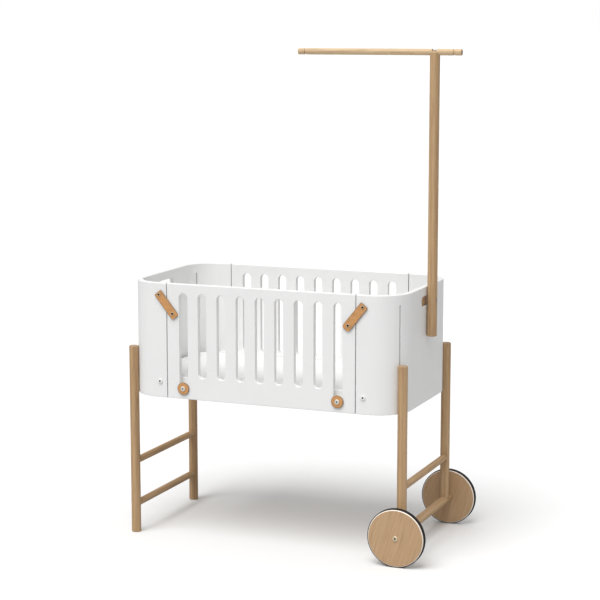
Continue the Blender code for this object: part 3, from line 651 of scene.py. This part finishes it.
def resampled(points, step):
    """The same closed outline with no stretch longer than step."""
    result = []
    for (x, z, edge), (next_x, next_z, _) in zip(points, points[1:] + points[:1]):
        length = math.hypot(next_x - x, next_z - z)
        count = max(1, math.ceil(length / step - 0.001))
        for i in range(count):
            share = i / count
            result.append((x + (next_x - x) * share, z + (next_z - z) * share, edge))
    return result


def edge_vectors(points):
    """For each outline point: its inset when rounded, its depth of rounding, and
    the outward directions of the stretches before and after it."""
    count = len(points)
    outward = []
    for i in range(count):
        x, z, _ = points[i]
        next_x, next_z, _ = points[(i + 1) % count]
        length = math.hypot(next_x - x, next_z - z)
        outward.append(Vector(((next_z - z) / length, (x - next_x) / length)))
    result = []
    for i in range(count):
        before = outward[i - 1]
        after = outward[i]
        edge_before = points[i - 1][2]
        edge_after = points[i][2]
        turn = before.x * after.y - before.y * after.x
        depth = (edge_before + edge_after) / 2
        if before.dot(after) > 0.8:
            direction = (before + after).normalized()
            inset = -direction * depth / direction.dot(after)
            before = direction
            after = direction
        else:
            inset = -Vector((edge_before * after.y - edge_after * before.y,
                             edge_after * before.x - edge_before * after.x)) / turn
        result.append((inset, depth, before, after))
    return result


def inside_triangles(outlines, extra):
    """Triangles that fill the first outline, outside the others."""
    points = []
    edges = []
    for outline in outlines:
        first = len(points)
        count = len(outline)
        points.extend(outline)
        edges.extend((first + i, first + (i + 1) % count) for i in range(count))
    starts = np.array([points[a] for a, b in edges])
    ends = np.array([points[b] for a, b in edges])
    points.extend(extra)
    made, _, faces, origins, _, _ = geometry.delaunay_2d_cdt(
        [Vector(point) for point in points], edges, [], 0, 1e-7)
    if any(not origin for origin in origins):
        raise ValueError("an outline crosses itself")
    source = [origin[0] for origin in origins]
    centres = np.array([[sum(made[v].x for v in face) / 3, sum(made[v].y for v in face) / 3]
                        for face in faces])
    above = (starts[None, :, 1] > centres[:, None, 1]) != (ends[None, :, 1] > centres[:, None, 1])
    rise = ends[None, :, 1] - starts[None, :, 1]
    rise = np.where(rise == 0, 1, rise)
    share = (centres[:, None, 1] - starts[None, :, 1]) / rise
    crossing = starts[None, :, 0] + share * (ends[None, :, 0] - starts[None, :, 0])
    inside = (above & (crossing > centres[:, None, 0])).sum(axis=1) % 2 == 1
    triangles = []
    for face, keep in zip(faces, inside):
        if not keep:
            continue
        a, b, c = (made[v] for v in face)
        area = (b.x - a.x) * (c.y - a.y) - (b.y - a.y) * (c.x - a.x)
        indices = [source[v] for v in face]
        triangles.append(indices if area > 0 else indices[::-1])
    return triangles


def slab(name, outlines, thickness, place, turn, extra=()):
    """A board with rounded edges.  Outlines hold (x, z, edge radius), the outer
    one anticlockwise and holes clockwise; -Y is its outer face.  place and turn
    put a point and a direction where the board bends."""
    rings = [(-1, angle) for angle in reversed(quarter(ROUND_STEPS))]
    rings += [(1, angle) for angle in quarter(ROUND_STEPS)]
    verts = []
    faces = []
    normals = []
    front_index = []
    back_index = []
    flat_outlines = []

    def direction(x, lateral, face, angle):
        level = math.cos(angle)
        local = Vector((lateral.x * level, face * math.sin(angle), lateral.y * level))
        return turn(x, local).normalized()

    for outline in outlines:
        vectors = edge_vectors(outline)
        count = len(outline)
        table = []
        for face, angle in rings:
            row = []
            for (x, z, _), (inset, depth, _, _) in zip(outline, vectors):
                share = 1 - math.cos(angle)
                y = face * (thickness / 2 - depth * (1 - math.sin(angle)))
                row.append(len(verts))
                verts.append(place(x + inset.x * share, y, z + inset.y * share))
            table.append(row)
        front_index.extend(table[0])
        back_index.extend(table[-1])
        flat_outlines.append([(x + inset.x, z + inset.y)
                              for (x, z, _), (inset, _, _, _) in zip(outline, vectors)])
        for k in range(len(rings) - 1):
            for i in range(count):
                after = (i + 1) % count
                faces.append((table[k][i], table[k + 1][i], table[k + 1][after],
                              table[k][after]))
                lateral_start = vectors[i][3]
                lateral_end = vectors[after][2]
                x_start = outline[i][0]
                x_end = outline[after][0]
                face, angle = rings[k]
                next_face, next_angle = rings[k + 1]
                normals.append(direction(x_start, lateral_start, face, angle))
                normals.append(direction(x_start, lateral_start, next_face, next_angle))
                normals.append(direction(x_end, lateral_end, next_face, next_angle))
                normals.append(direction(x_end, lateral_end, face, angle))

    for x, z in extra:
        front_index.append(len(verts))
        verts.append(place(x, -thickness / 2, z))
        back_index.append(len(verts))
        verts.append(place(x, thickness / 2, z))
    flat_x = [x for outline in flat_outlines for x, _ in outline] + [x for x, _ in extra]
    for triangle in inside_triangles(flat_outlines, list(extra)):
        faces.append(tuple(front_index[v] for v in triangle))
        normals.extend(turn(flat_x[v], -Y_AXIS) for v in triangle)
        faces.append(tuple(back_index[v] for v in reversed(triangle)))
        normals.extend(turn(flat_x[v], Y_AXIS) for v in reversed(triangle))

    mesh = bpy.data.meshes.new(name)
    mesh.from_pydata(verts, [], faces)
    mesh.shade_smooth()
    mesh.normals_split_custom_set([tuple(normal) for normal in normals])
    return new_object(name, mesh)


def flat_board(name, outlines, thickness, origin, x_axis, outward, extra=()):
    """A slab that stays flat: x_axis is its own x, outward its outer side."""
    x_axis = Vector(x_axis).normalized()
    outward = Vector(outward).normalized()
    z_axis = outward.cross(x_axis)

    def turn(_, vector):
        return x_axis * vector.x - outward * vector.y + z_axis * vector.z

    def place(x, y, z):
        return origin + turn(x, Vector((x, y, z)))

    return slab(name, outlines, thickness, place, turn, extra)


def arc(centre_x, centre_z, radius, start, end, steps, edge):
    points = []
    for i in range(steps + 1):
        angle = math.radians(start + (end - start) * i / steps)
        points.append((centre_x + radius * math.cos(angle),
                       centre_z + radius * math.sin(angle), edge))
    return points


def round_hole(z, radius, edge):
    """A hole's outline, clockwise, in 24 stretches."""
    return arc(0, z, radius, 0, 345, 23, edge)[::-1]


def upright_slot(x, bottom, top, width, edge, steps=18):
    radius = width / 2
    return (arc(x, top - radius, radius, 0, 180, steps, edge)
            + arc(x, bottom + radius, radius, 180, 360, steps, edge))


def flat_slot(centre_x, centre_z, length, height, edge, steps=18):
    radius = height / 2
    reach = length / 2 - radius
    return (arc(centre_x + reach, centre_z, radius, -90, 90, steps, edge)
            + arc(centre_x - reach, centre_z, radius, 90, 270, steps, edge))


def rounded_rectangle(left, right, bottom, top, low_radius, high_radius, edge, steps=8):
    return (arc(right - high_radius, top - high_radius, high_radius, 0, 90, steps, edge)
            + arc(left + high_radius, top - high_radius, high_radius, 90, 180, steps, edge)
            + arc(left + low_radius, bottom + low_radius, low_radius, 180, 270, steps, edge)
            + arc(right - low_radius, bottom + low_radius, low_radius, 270, 360, steps, edge))


def panel_rectangle(left, right):
    """A body panel's outline, each stretch with its own edge."""
    return [(left, BODY_BOTTOM, BOTTOM_EDGE), (right, BODY_BOTTOM, SEAM_EDGE),
            (right, BODY_TOP, TOP_EDGE), (left, BODY_TOP, SEAM_EDGE)]


# ---------------------------------------------------------------- body

PANEL_STEP = 0.004
GRID_MARGIN = 0.005
HOLE_MARGIN = 0.0025
CORNER_X = HALF_LENGTH - CORNER_RADIUS
STRAIGHT = CORNER_X - END_START
ARC_LENGTH = CORNER_RADIUS * math.pi / 2
END_FLAT = 2 * (HALF_WIDTH - CORNER_RADIUS)
END_TOTAL = 2 * STRAIGHT + 2 * ARC_LENGTH + END_FLAT


def end_path(s):
    """Outer face of the right end panel at length s from its front seam: the
    point, the direction of travel and the outward direction."""
    corner_y = HALF_WIDTH - CORNER_RADIUS
    if s <= STRAIGHT:
        return Vector((END_START + s, -HALF_WIDTH, 0)), X_AXIS, -Y_AXIS
    if s >= END_TOTAL - STRAIGHT:
        return Vector((END_START + END_TOTAL - s, HALF_WIDTH, 0)), -X_AXIS, Y_AXIS
    s -= STRAIGHT
    if s <= ARC_LENGTH:
        angle = s / CORNER_RADIUS
        centre = Vector((CORNER_X, -corner_y, 0))
    elif s < ARC_LENGTH + END_FLAT:
        return Vector((HALF_LENGTH, s - ARC_LENGTH - corner_y, 0)), Y_AXIS, X_AXIS
    else:
        angle = (s - END_FLAT) / CORNER_RADIUS
        centre = Vector((CORNER_X, corner_y, 0))
    outward = Vector((math.sin(angle), -math.cos(angle), 0))
    travel = Vector((math.cos(angle), math.sin(angle), 0))
    return centre + outward * CORNER_RADIUS, travel, outward


def make_end_panel(node, side):
    def turn(s, vector):
        _, travel, outward = end_path(s)
        result = travel * vector.x - outward * vector.y + Z_AXIS * vector.z
        return Vector((side * result.x, side * result.y, result.z))

    def place(s, y, z):
        point, _, outward = end_path(s)
        point = point - outward * (y + WALL / 2)
        return Vector((CENTRE_X + side * point.x, side * point.y, z))

    slit = STRAIGHT + CORNER_RADIUS * (math.pi / 2 - LEG_ANGLE)
    holes = [upright_slot(s, SLIT_BOTTOM, SLIT_TOP, SLIT_WIDTH, SLIT_EDGE, 10)
             for s in (slit, END_TOTAL - slit)]
    holes.append(flat_slot(END_TOTAL / 2, HANDLE_Z, HANDLE_LENGTH, HANDLE_HEIGHT, SLOT_EDGE))
    outlines = [resampled(panel_rectangle(0, END_TOTAL), PANEL_STEP)]
    for hole in holes:
        outlines.append(resampled(hole[::-1], PANEL_STEP))

    margin = GRID_MARGIN
    columns = int((END_TOTAL - 2 * margin) / PANEL_STEP)
    rows = int((BODY_TOP - BODY_BOTTOM - 2 * margin) / (2 * PANEL_STEP))
    boxes = []
    for hole in holes:
        along_path = [point[0] for point in hole]
        heights = [point[1] for point in hole]
        boxes.append((min(along_path) - HOLE_MARGIN, max(along_path) + HOLE_MARGIN,
                      min(heights) - HOLE_MARGIN, max(heights) + HOLE_MARGIN))
    grid = []
    for i in range(columns + 1):
        s = margin + (END_TOTAL - 2 * margin) * i / columns
        for j in range(rows + 1):
            z = BODY_BOTTOM + margin + (BODY_TOP - BODY_BOTTOM - 2 * margin) * j / rows
            if not any(left < s < right and low < z < high for left, right, low, high in boxes):
                grid.append((s, z))
    piece = slab(node + "_bent", outlines, WALL, place, turn, grid)
    dress(piece, "white_paint", WHITE, node)


def make_slotted_panel(node, guide_bottom):
    low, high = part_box(node)
    outlines = [resampled(panel_rectangle(-PANEL_END, PANEL_END), PANEL_STEP)]
    for i in range(SLOT_COUNT):
        x = SLOT_PITCH * (i - (SLOT_COUNT - 1) / 2)
        outer = i in (0, SLOT_COUNT - 1)
        bottom = guide_bottom if outer else SLOT_BOTTOM
        slot = upright_slot(x, bottom, SLOT_TOP, SLOT_WIDTH, SLOT_EDGE)
        outlines.append(resampled(slot[::-1], 2 * PANEL_STEP))
    origin = Vector((CENTRE_X, (low.y + high.y) / 2, 0))
    piece = flat_board(node + "_slotted", outlines, WALL, origin, X_AXIS, -Y_AXIS)
    dress(piece, "white_paint", WHITE, node)


# ---------------------------------------------------------------- mattress

VOXEL = 0.0055
PRESSURE = 4.0
SWELL_FRAMES = 20
SWELL_CAP = 0.008
PAD_INSET = 0.004
PAD_EDGE = 0.009
PAD_CORNER = 0.066
PAD_THINNER = 0.006
PAD_STEP = 0.02
CROWN = 0.0035
RIPPLES = 14
RIPPLE_HEIGHT = 0.0009
FOLDS = 46
FOLD_HEIGHT = 0.0008
PUCKER_REACH = 0.016
SIDE_PLAY = 0.0004
BASE_PLAY = 0.0002
PIPING_RADIUS = 0.0021
PIPING_STEP = 0.012
PIPING_HEIGHT = 0.0065
PIPING_AIM = 0.6
PIPING_START = 0.03
PIPING_SUNK = 0.6


def mattress_outline(inset, edge):
    low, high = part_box("mattress")
    centre = (low + high) / 2
    half_x = (high.x - low.x) / 2 - inset
    half_y = (high.y - low.y) / 2 - inset
    corner = PAD_CORNER - inset
    points = rounded_rectangle(-half_x, half_x, -half_y, half_y, corner, corner, edge, 14)
    return centre, points


def swell(piece):
    """Puff a closed piece up with air pressure, each point no further than the cap."""
    start = [vertex.co.copy() for vertex in piece.data.vertices]
    cloth = piece.modifiers.new("cloth", "CLOTH")
    cloth.settings.quality = 5
    cloth.settings.use_pressure = True
    cloth.settings.uniform_pressure_force = PRESSURE
    cloth.settings.effector_weights.gravity = 0
    cloth.point_cache.frame_start = 1
    cloth.point_cache.frame_end = SWELL_FRAMES
    scene = bpy.context.scene
    for step in range(1, SWELL_FRAMES + 1):
        scene.frame_set(step)
    puffed = evaluated_mesh(piece)
    moved = [vertex.co.copy() for vertex in puffed.vertices]
    piece.modifiers.clear()
    scene.frame_set(1)
    bpy.data.meshes.remove(puffed)
    for vertex, old, new in zip(piece.data.vertices, start, moved):
        step = new - old
        if step.length > SWELL_CAP:
            step.length = SWELL_CAP
        vertex.co = old + step


def settle(piece, low, high):
    """Rest the pad on its board, inside the crib, with a soft crown and creases."""
    centre = (low + high) / 2
    half_x = (high.x - low.x) / 2
    half_y = (high.y - low.y) / 2
    for vertex in piece.data.vertices:
        point = vertex.co
        to_edge = min(half_x - abs(point.x - centre.x), half_y - abs(point.y - centre.y))
        if point.z > centre.z:
            ripple = noise.noise(Vector((point.x * RIPPLES, point.y * RIPPLES, 0.3)))
            fold = noise.noise(Vector((point.x * FOLDS, point.y * FOLDS, 4.1)))
            pucker = math.exp(-max(to_edge, 0) / PUCKER_REACH)
            point.z += RIPPLE_HEIGHT * ripple + FOLD_HEIGHT * fold * pucker
        point.z = max(point.z, low.z + BASE_PLAY)
        point.x = min(max(point.x, low.x + SIDE_PLAY), high.x - SIDE_PLAY)
        point.y = min(max(point.y, low.y + SIDE_PLAY), high.y - SIDE_PLAY)
        point.z = min(point.z, high.z + CROWN)


def make_piping(name, tree, centre, outline, z):
    """A thin welt sewn round the pad, laid on its finished side."""
    points = []
    for x, y, _ in resampled(outline, PIPING_STEP):
        outside = Vector((centre.x + x, centre.y + y, z))
        inside = Vector((centre.x + x * PIPING_AIM, centre.y + y * PIPING_AIM, z))
        inward = (inside - outside).normalized()
        hit, _, _, _ = tree.ray_cast(outside - inward * PIPING_START, inward)
        if hit is None:
            hit = outside
        points.append(hit + inward * PIPING_RADIUS * PIPING_SUNK)
    curve = bpy.data.curves.new(name, "CURVE")
    curve.dimensions = "3D"
    curve.bevel_depth = PIPING_RADIUS
    curve.bevel_resolution = 3
    spline = curve.splines.new("POLY")
    spline.points.add(len(points) - 1)
    for spot, point in zip(spline.points, points):
        spot.co = (*point, 1)
    spline.use_cyclic_u = True
    drawn = new_object(name + "_line", curve)
    piece = new_object(name, evaluated_mesh(drawn))
    bpy.data.objects.remove(drawn, do_unlink=True)
    piece.data.shade_smooth()
    piece.data.materials.append(COTTON)
    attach(piece, BODY_OF["mattress"])


def make_mattress():
    low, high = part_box("mattress")
    centre, outline = mattress_outline(PAD_INSET, PAD_EDGE)
    thickness = high.z - low.z - PAD_THINNER
    pad = flat_board("mattress_pad", [resampled(outline, PAD_STEP)], thickness,
                     centre, X_AXIS, Z_AXIS)
    remesh = pad.modifiers.new("remesh", "REMESH")
    remesh.mode = "VOXEL"
    remesh.voxel_size = VOXEL
    bake(pad)
    swell(pad)
    settle(pad, low, high)
    finer = pad.modifiers.new("finer", "SUBSURF")
    finer.levels = 1
    finer.render_levels = 1
    bake(pad)
    pad.data.shade_smooth()
    dress(pad, "mattress_fabric", COTTON, "mattress")
    tree = BVHTree.FromPolygons([vertex.co for vertex in pad.data.vertices],
                                [face.vertices for face in pad.data.polygons])
    make_piping("mattress_top_piping", tree, centre, outline, high.z - PIPING_HEIGHT)
    make_piping("mattress_bottom_piping", tree, centre, outline, low.z + PIPING_HEIGHT)


# ---------------------------------------------------------------- fasteners

# How many stretches of each profile, from the middle, take the painted shade of the hollow
KEY_HOLLOW = 2
CUP_HOLLOW = 4

KEY_RIM = 1.30
KEY_LIP = 0.0002
HEAD_SHOULDER = 0.62

# A head without a key is a dished cap
Head = namedtuple("Head", "height shank key depth", defaults=(0, 0))
END_HEAD = Head(0.0034, 0.0030, 0.0025, 0.0026)
BACK_HEAD = Head(0.0026, 0.0024, 0.0016, 0.0018)
GUIDE_HEAD = Head(0.0026, 0.0030, 0.0021, 0.0021)
WHEEL_HEAD = Head(0.0028, 0.0038, 0.0026, 0.0024)
CLAMP_HEAD = Head(0.0045, 0.0030, 0.0022, 0.0030)
ROD_HEAD = Head(0.0024, 0.0017, 0.0016, 0.0016)
STRAP_HEAD = Head(0.0022, 0.0017)


def shank_end(radius, length):
    """The shank of a fastener, with a short lead at its tip."""
    lead = radius * 0.5
    return [(radius, 0), (radius, lead - length), (radius - lead, -length), (0, -length)]


def hex_head(radius, height, key, depth):
    """A domed head with a six-sided key hole."""
    rim = key * KEY_RIM
    shoulder = height * HEAD_SHOULDER
    profile = [(0, height - depth), (key, height - depth, True), (key, height - KEY_LIP, True),
               (rim, height)]
    for angle in quarter(6)[1:]:
        profile.append((rim + (radius - rim) * math.sin(angle),
                        shoulder + (height - shoulder) * math.cos(angle)))
    profile.append((radius, 0))
    return profile


def cup_head(radius, height):
    """A dished cap: a rolled rim round a deep hollow."""
    shares = ((0, 0.06), (0.34, 0.07), (0.52, 0.14), (0.62, 0.40), (0.68, 0.76), (0.74, 0.96),
              (0.82, 1), (0.91, 0.95), (0.97, 0.74), (1, 0.42), (1, 0))
    return [(radius * across, height * up) for across, up in shares]


def fastener(node, direction, head, slot, surface):
    """A screw whose head stands where the CAD's fastener has its own."""
    low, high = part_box(node)
    axis = max(range(3), key=lambda i: abs(direction[i]))
    side = (axis + 1) % 3
    centre = (low + high) / 2
    top = centre.copy()
    top[axis] = high[axis] if direction[axis] > 0 else low[axis]
    seat = top - direction * head.height
    radius = (high[side] - low[side]) / 2
    if head.key:
        profile = hex_head(radius, head.height, head.key, head.depth)
        hollow = KEY_HOLLOW
    else:
        profile = cup_head(radius, head.height)
        hollow = CUP_HOLLOW
    profile += shank_end(head.shank, high[axis] - low[axis] - head.height)
    piece = lathe(node + "_turned", profile, along(seat, direction), 48, hollow=hollow)
    soften(piece)
    dress(piece, slot, surface, node)
    # The hollow stretches get the near-black painted shade.
    piece.data.materials.append(PAINTED_SHADE_HOLLOW)


def make_fasteners():
    for side in ("left", "right"):
        fastener(side + "_front_end_screw", -Y_AXIS, END_HEAD, "white_metal", WHITE_METAL)
        fastener(side + "_back_end_screw", Y_AXIS, END_HEAD, "white_metal", WHITE_METAL)
        fastener(side + "_back_panel_screw", Y_AXIS, BACK_HEAD, "white_metal", WHITE_METAL)
        fastener(side + "_guide_screw", -Y_AXIS, GUIDE_HEAD, "steel", PLATED)
        fastener(side + "_strap_screw", -Y_AXIS, STRAP_HEAD, "brass", PALE_BRASS)
        fastener(side + "_strap_cap", -Y_AXIS, STRAP_HEAD, "brass", PALE_BRASS)
    for depth, direction in (("front", -Y_AXIS), ("back", Y_AXIS)):
        fastener(depth + "_wheel_bolt", direction, WHEEL_HEAD, "brass", PALE_BRASS)
    fastener("canopy_clamp_bolt", X_AXIS, CLAMP_HEAD, "steel", STEEL)
    fastener("canopy_rod_screw", Z_AXIS, ROD_HEAD, "steel", STEEL)


# ---------------------------------------------------------------- leather

LEATHER_EDGE = 0.0008
STRAP_HOLE = 0.0022
STRAP_HOLE_EDGE = 0.0003
STRAP_CORNERS = (0.008, 0.0035)
STRAP_STEP = 0.004
DISC_HOLE = 0.0035
DISC_EDGE = 0.0013
GRID_STEP = 0.0019
GRID_REACH = 6
GRID_ROWS = 46


def mark_edges(piece, distances):
    """Tell the leather how far each point is from its cut edge."""
    layer = piece.data.attributes.new("edge_distance", "FLOAT", "POINT")
    layer.data.foreach_set("value", distances)


def make_straps():
    for name, side in (("left", -1), ("right", 1)):
        low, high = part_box(name + "_strap")
        thickness = high.y - low.y
        pivot = middle_of(name + "_strap_screw")
        pivot.y = (low.y + high.y) / 2
        down = Vector((-side * math.sin(STRAP_ANGLE), 0, -math.cos(STRAP_ANGLE)))
        outline = rounded_rectangle(-STRAP_WIDTH / 2, STRAP_WIDTH / 2,
                                    -STRAP_SPAN - STRAP_END_MARGIN, STRAP_TOP_MARGIN,
                                    *STRAP_CORNERS, LEATHER_EDGE)
        holes = [round_hole(z, STRAP_HOLE, STRAP_HOLE_EDGE) for z in (0, -STRAP_SPAN)]
        bottom = -STRAP_SPAN - STRAP_END_MARGIN
        grid = []
        for i in range(-GRID_REACH, GRID_REACH + 1):
            for j in range(1, GRID_ROWS):
                x = i * GRID_STEP
                z = STRAP_TOP_MARGIN - j * GRID_STEP
                from_holes = min(math.hypot(x, z), math.hypot(x, z + STRAP_SPAN))
                if z > bottom + GRID_STEP and from_holes > STRAP_HOLE + LEATHER_EDGE:
                    grid.append((x, z))
        width_axis = down.cross(Y_AXIS)
        piece = flat_board(name + "_strap_leather", [resampled(outline, STRAP_STEP)] + holes,
                           thickness, pivot, width_axis, -Y_AXIS, grid)
        distances = []
        for vertex in piece.data.vertices:
            step = vertex.co - pivot
            z = -step.dot(down)
            distances.append(min(STRAP_WIDTH / 2 - abs(step.dot(width_axis)),
                                 STRAP_TOP_MARGIN - z, z - bottom))
        mark_edges(piece, distances)
        dress(piece, "leather", LEATHER, name + "_strap")


def make_guide_discs():
    for name in ("left", "right"):
        node = name + "_guide_disc"
        low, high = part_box(node)
        centre = (low + high) / 2
        profile = ring_profile((high.x - low.x) / 2, DISC_HOLE, (high.y - low.y) / 2, DISC_EDGE)
        piece = lathe(node + "_leather", profile, along(centre, -Y_AXIS), 72, ring=True)
        mark_edges(piece, [(high.x - low.x) / 2 - math.hypot(vertex.co.x - centre.x,
                                                             vertex.co.z - centre.z)
                           for vertex in piece.data.vertices])
        soften(piece)
        dress(piece, "leather", LEATHER, node)


# ---------------------------------------------------------------- legs and wheels

CUT_PLAY = 0.0003
WHEEL_BORE = 0.0048
# How far each point of the chamfer lies in from the rim and down from the face
WHEEL_CHAMFER = ((0.0024, 0), (0.0019, 0.0002), (0.0002, 0.0019), (0, 0.0024))
RUNG_EDGE = 0.0008
AXLE_EDGE = 0.0012
TYRE_EDGE = 0.0009


def bar_cutter(node, axis, reach=0.0):
    start, end, radius = axis_extent(node, axis)
    way = (end - start).normalized()
    start -= way * (CUT_PLAY + reach)
    length = (end - start).length + CUT_PLAY + reach
    profile = [(0, length), (radius + CUT_PLAY, length), (radius + CUT_PLAY, 0), (0, 0)]
    return lathe("cutter", profile, along(start, way), 48)


def make_leg(node, cross_bars):
    leg = round_bar(node, 2)
    cutters = [bar_cutter(bar, 1) for bar in cross_bars]
    cut(leg, *cutters)
    soften(leg)
    dress(leg, "oak", OAK_UPRIGHT, node)


def make_legs():
    for depth in ("front", "back"):
        make_leg("left_" + depth + "_leg", ("left_upper_rung", "left_lower_rung"))
        make_leg("right_" + depth + "_leg", ("right_rung", "axle_bar"))
    for node, edge in (("left_upper_rung", RUNG_EDGE), ("left_lower_rung", RUNG_EDGE),
                       ("right_rung", RUNG_EDGE), ("axle_bar", AXLE_EDGE)):
        bar = round_bar(node, 1, edge)
        soften(bar)
        dress(bar, "oak", OAK_DEEP, node)


def make_wheels():
    for depth, out in (("front", -Y_AXIS), ("back", Y_AXIS)):
        node = depth + "_wheel_disc"
        low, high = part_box(node)
        half = (high.y - low.y) / 2
        rim = (high.z - low.z) / 2
        outer_side = [(rim - inward, half - down) for inward, down in WHEEL_CHAMFER]
        inner_side = [(radius, -height) for radius, height in reversed(outer_side)]
        profile = [(WHEEL_BORE, half), *outer_side, *inner_side, (WHEEL_BORE, -half)]
        disc = lathe(node + "_turned", profile, along((low + high) / 2, out), 128, ring=True)
        soften(disc)
        dress(disc, "oak", OAK_WHEEL, node)

        node = depth + "_wheel_tyre"
        low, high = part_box(node)
        outer = (high.z - low.z) / 2
        profile = ring_profile(outer, rim + CUT_PLAY, (high.y - low.y) / 2, TYRE_EDGE)
        tyre = lathe(node + "_rubber", profile, along((low + high) / 2, out), 128, ring=True)
        soften(tyre)
        dress(tyre, "tyre", RUBBER, node)


# ---------------------------------------------------------------- canopy holder

ROD_EDGE = 0.0018
ROD_GROOVE = 0.0215
GROOVE_STEPS = 4
GROOVE_HALF_WIDTH = 0.0030
GROOVE_DEPTH = 0.0027
NOTCH_WIDTH = 0.014
NOTCH_DEPTH = 0.005
NOTCH_REACH = 0.03
BOLT_HOLE = 0.0035
BOLT_HOLE_EDGE = 0.0003
BLOCK_EDGE = 0.0010
CUTTER_EDGE = 0.0004
SHANK_PLAY = 0.01
RECESS_RADIUS = 0.0056
RECESS_DEPTH = 0.0065


def box_cutter(low, high):
    body = bmesh.new()
    bmesh.ops.create_cube(body, size=1.0)
    mesh = bpy.data.meshes.new("box_cutter")
    body.to_mesh(mesh)
    body.free()
    size = high - low
    mesh.transform(Matrix.Translation((low + high) / 2) @ Matrix.Diagonal((*size, 1)))
    return new_object("box_cutter", mesh)


def make_canopy_pole():
    pole = round_bar("canopy_pole", 2)
    low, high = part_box("canopy_pole")
    bolt = middle_of("canopy_clamp_bolt")
    start = Vector((high.x - RECESS_DEPTH, bolt.y, bolt.z))
    recess = lathe("recess", bar_profile(RECESS_RADIUS, 2 * RECESS_DEPTH, CUTTER_EDGE),
                   along(start, X_AXIS), 48)
    shank = lathe("shank", bar_profile(BOLT_HOLE, high.x - low.x + 2 * SHANK_PLAY, CUTTER_EDGE),
                  along(Vector((low.x - SHANK_PLAY, bolt.y, bolt.z)), X_AXIS), 32)
    cut(pole, bar_cutter("canopy_rod", 0), recess, shank)
    soften(pole)
    dress(pole, "oak", OAK_UPRIGHT, "canopy_pole")


def make_canopy_rod():
    start, end, radius = axis_extent("canopy_rod", 0)
    length = (end - start).length
    profile = [(0, length)] + rounded_edge(radius, length, ROD_EDGE, BAR_STEPS, 1)
    for middle in (length - ROD_GROOVE, ROD_GROOVE):
        for i in range(2 * GROOVE_STEPS + 1):
            share = i / GROOVE_STEPS - 1
            hollow = GROOVE_DEPTH * math.cos(share * math.pi / 2) ** 2
            profile.append((radius - hollow, middle - share * GROOVE_HALF_WIDTH))
    profile += rounded_edge(radius, 0, ROD_EDGE, BAR_STEPS, -1) + [(0, 0)]
    rod = lathe("canopy_rod_turned", profile, along(start, X_AXIS), 64)
    pole = middle_of("canopy_pole")
    seat = start.z + radius - NOTCH_DEPTH
    notch = box_cutter(Vector((pole.x - NOTCH_WIDTH / 2, start.y - NOTCH_REACH, seat)),
                       Vector((pole.x + NOTCH_WIDTH / 2, start.y + NOTCH_REACH, seat + NOTCH_REACH)))
    cut(rod, notch)
    soften(rod)
    dress(rod, "oak", OAK_LONG, "canopy_rod")


def make_canopy_clamp():
    """The block in the handle hole and the plate inside, both with rounded ends."""
    for node, more in (("canopy_clamp_block", (-BLOCK_PLAY, -BLOCK_PLAY)),
                       ("canopy_clamp_plate", PLATE_OVERLAP)):
        low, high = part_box(node)
        outline = flat_slot(0, 0, HANDLE_LENGTH + more[0], HANDLE_HEIGHT + more[1], BLOCK_EDGE)
        hole = round_hole(0, BOLT_HOLE, BOLT_HOLE_EDGE)
        centre = (low + high) / 2
        piece = flat_board(node + "_shaped", [resampled(outline, PANEL_STEP), hole],
                           high.x - low.x, centre, Y_AXIS, X_AXIS)
        dress(piece, "oak", OAK_DEEP, node)


# ---------------------------------------------------------------- kept CAD nodes

KEPT_EDGE = 0.0006
KEPT_ANGLE = math.radians(50)


def finish_kept_nodes():
    """CAD nodes whose shape is right get a fine edge and their real material."""
    kept = {
        OAK_LONG: ("left_seam_dowel", "right_seam_dowel"),
        WHITE: ("front_rail", "back_rail"),
        PLYWOOD: ("mattress_base",),
        NYLON: ("left_guide_bush", "right_guide_bush"),
        BRASS: ("left_strap_washer", "right_strap_washer", "left_drop_side_stud",
                "right_drop_side_stud"),
        STEEL: ("left_front_leg_clamp", "left_back_leg_clamp", "right_front_leg_clamp",
                "right_back_leg_clamp", "right_front_axle_screw", "right_back_axle_screw",
                "canopy_clamp_nut"),
    }
    for surface, names in kept.items():
        for name in names:
            node = frame["nodes"][name]
            node.data.materials.clear()
            node.data.materials.append(surface)
            low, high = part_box(name)
            bevel = node.modifiers.new("edges", "BEVEL")
            bevel.width = min(KEPT_EDGE, min(high - low) / 12)
            bevel.segments = 2
            bevel.limit_method = "ANGLE"
            bevel.angle_limit = KEPT_ANGLE
            soften(node)


make_end_panel("left_end_panel", -1)
make_end_panel("right_end_panel", 1)
make_slotted_panel("back_panel", SLOT_BOTTOM)
make_slotted_panel("drop_side_panel", GUIDE_Z - SLOT_WIDTH / 2)
make_mattress()
make_fasteners()
make_straps()
make_guide_discs()
make_legs()
make_wheels()
make_canopy_pole()
make_canopy_rod()
make_canopy_clamp()
finish_kept_nodes()

bpy.context.scene.view_settings.view_transform = "Standard"

bpy.context.view_layer.update()
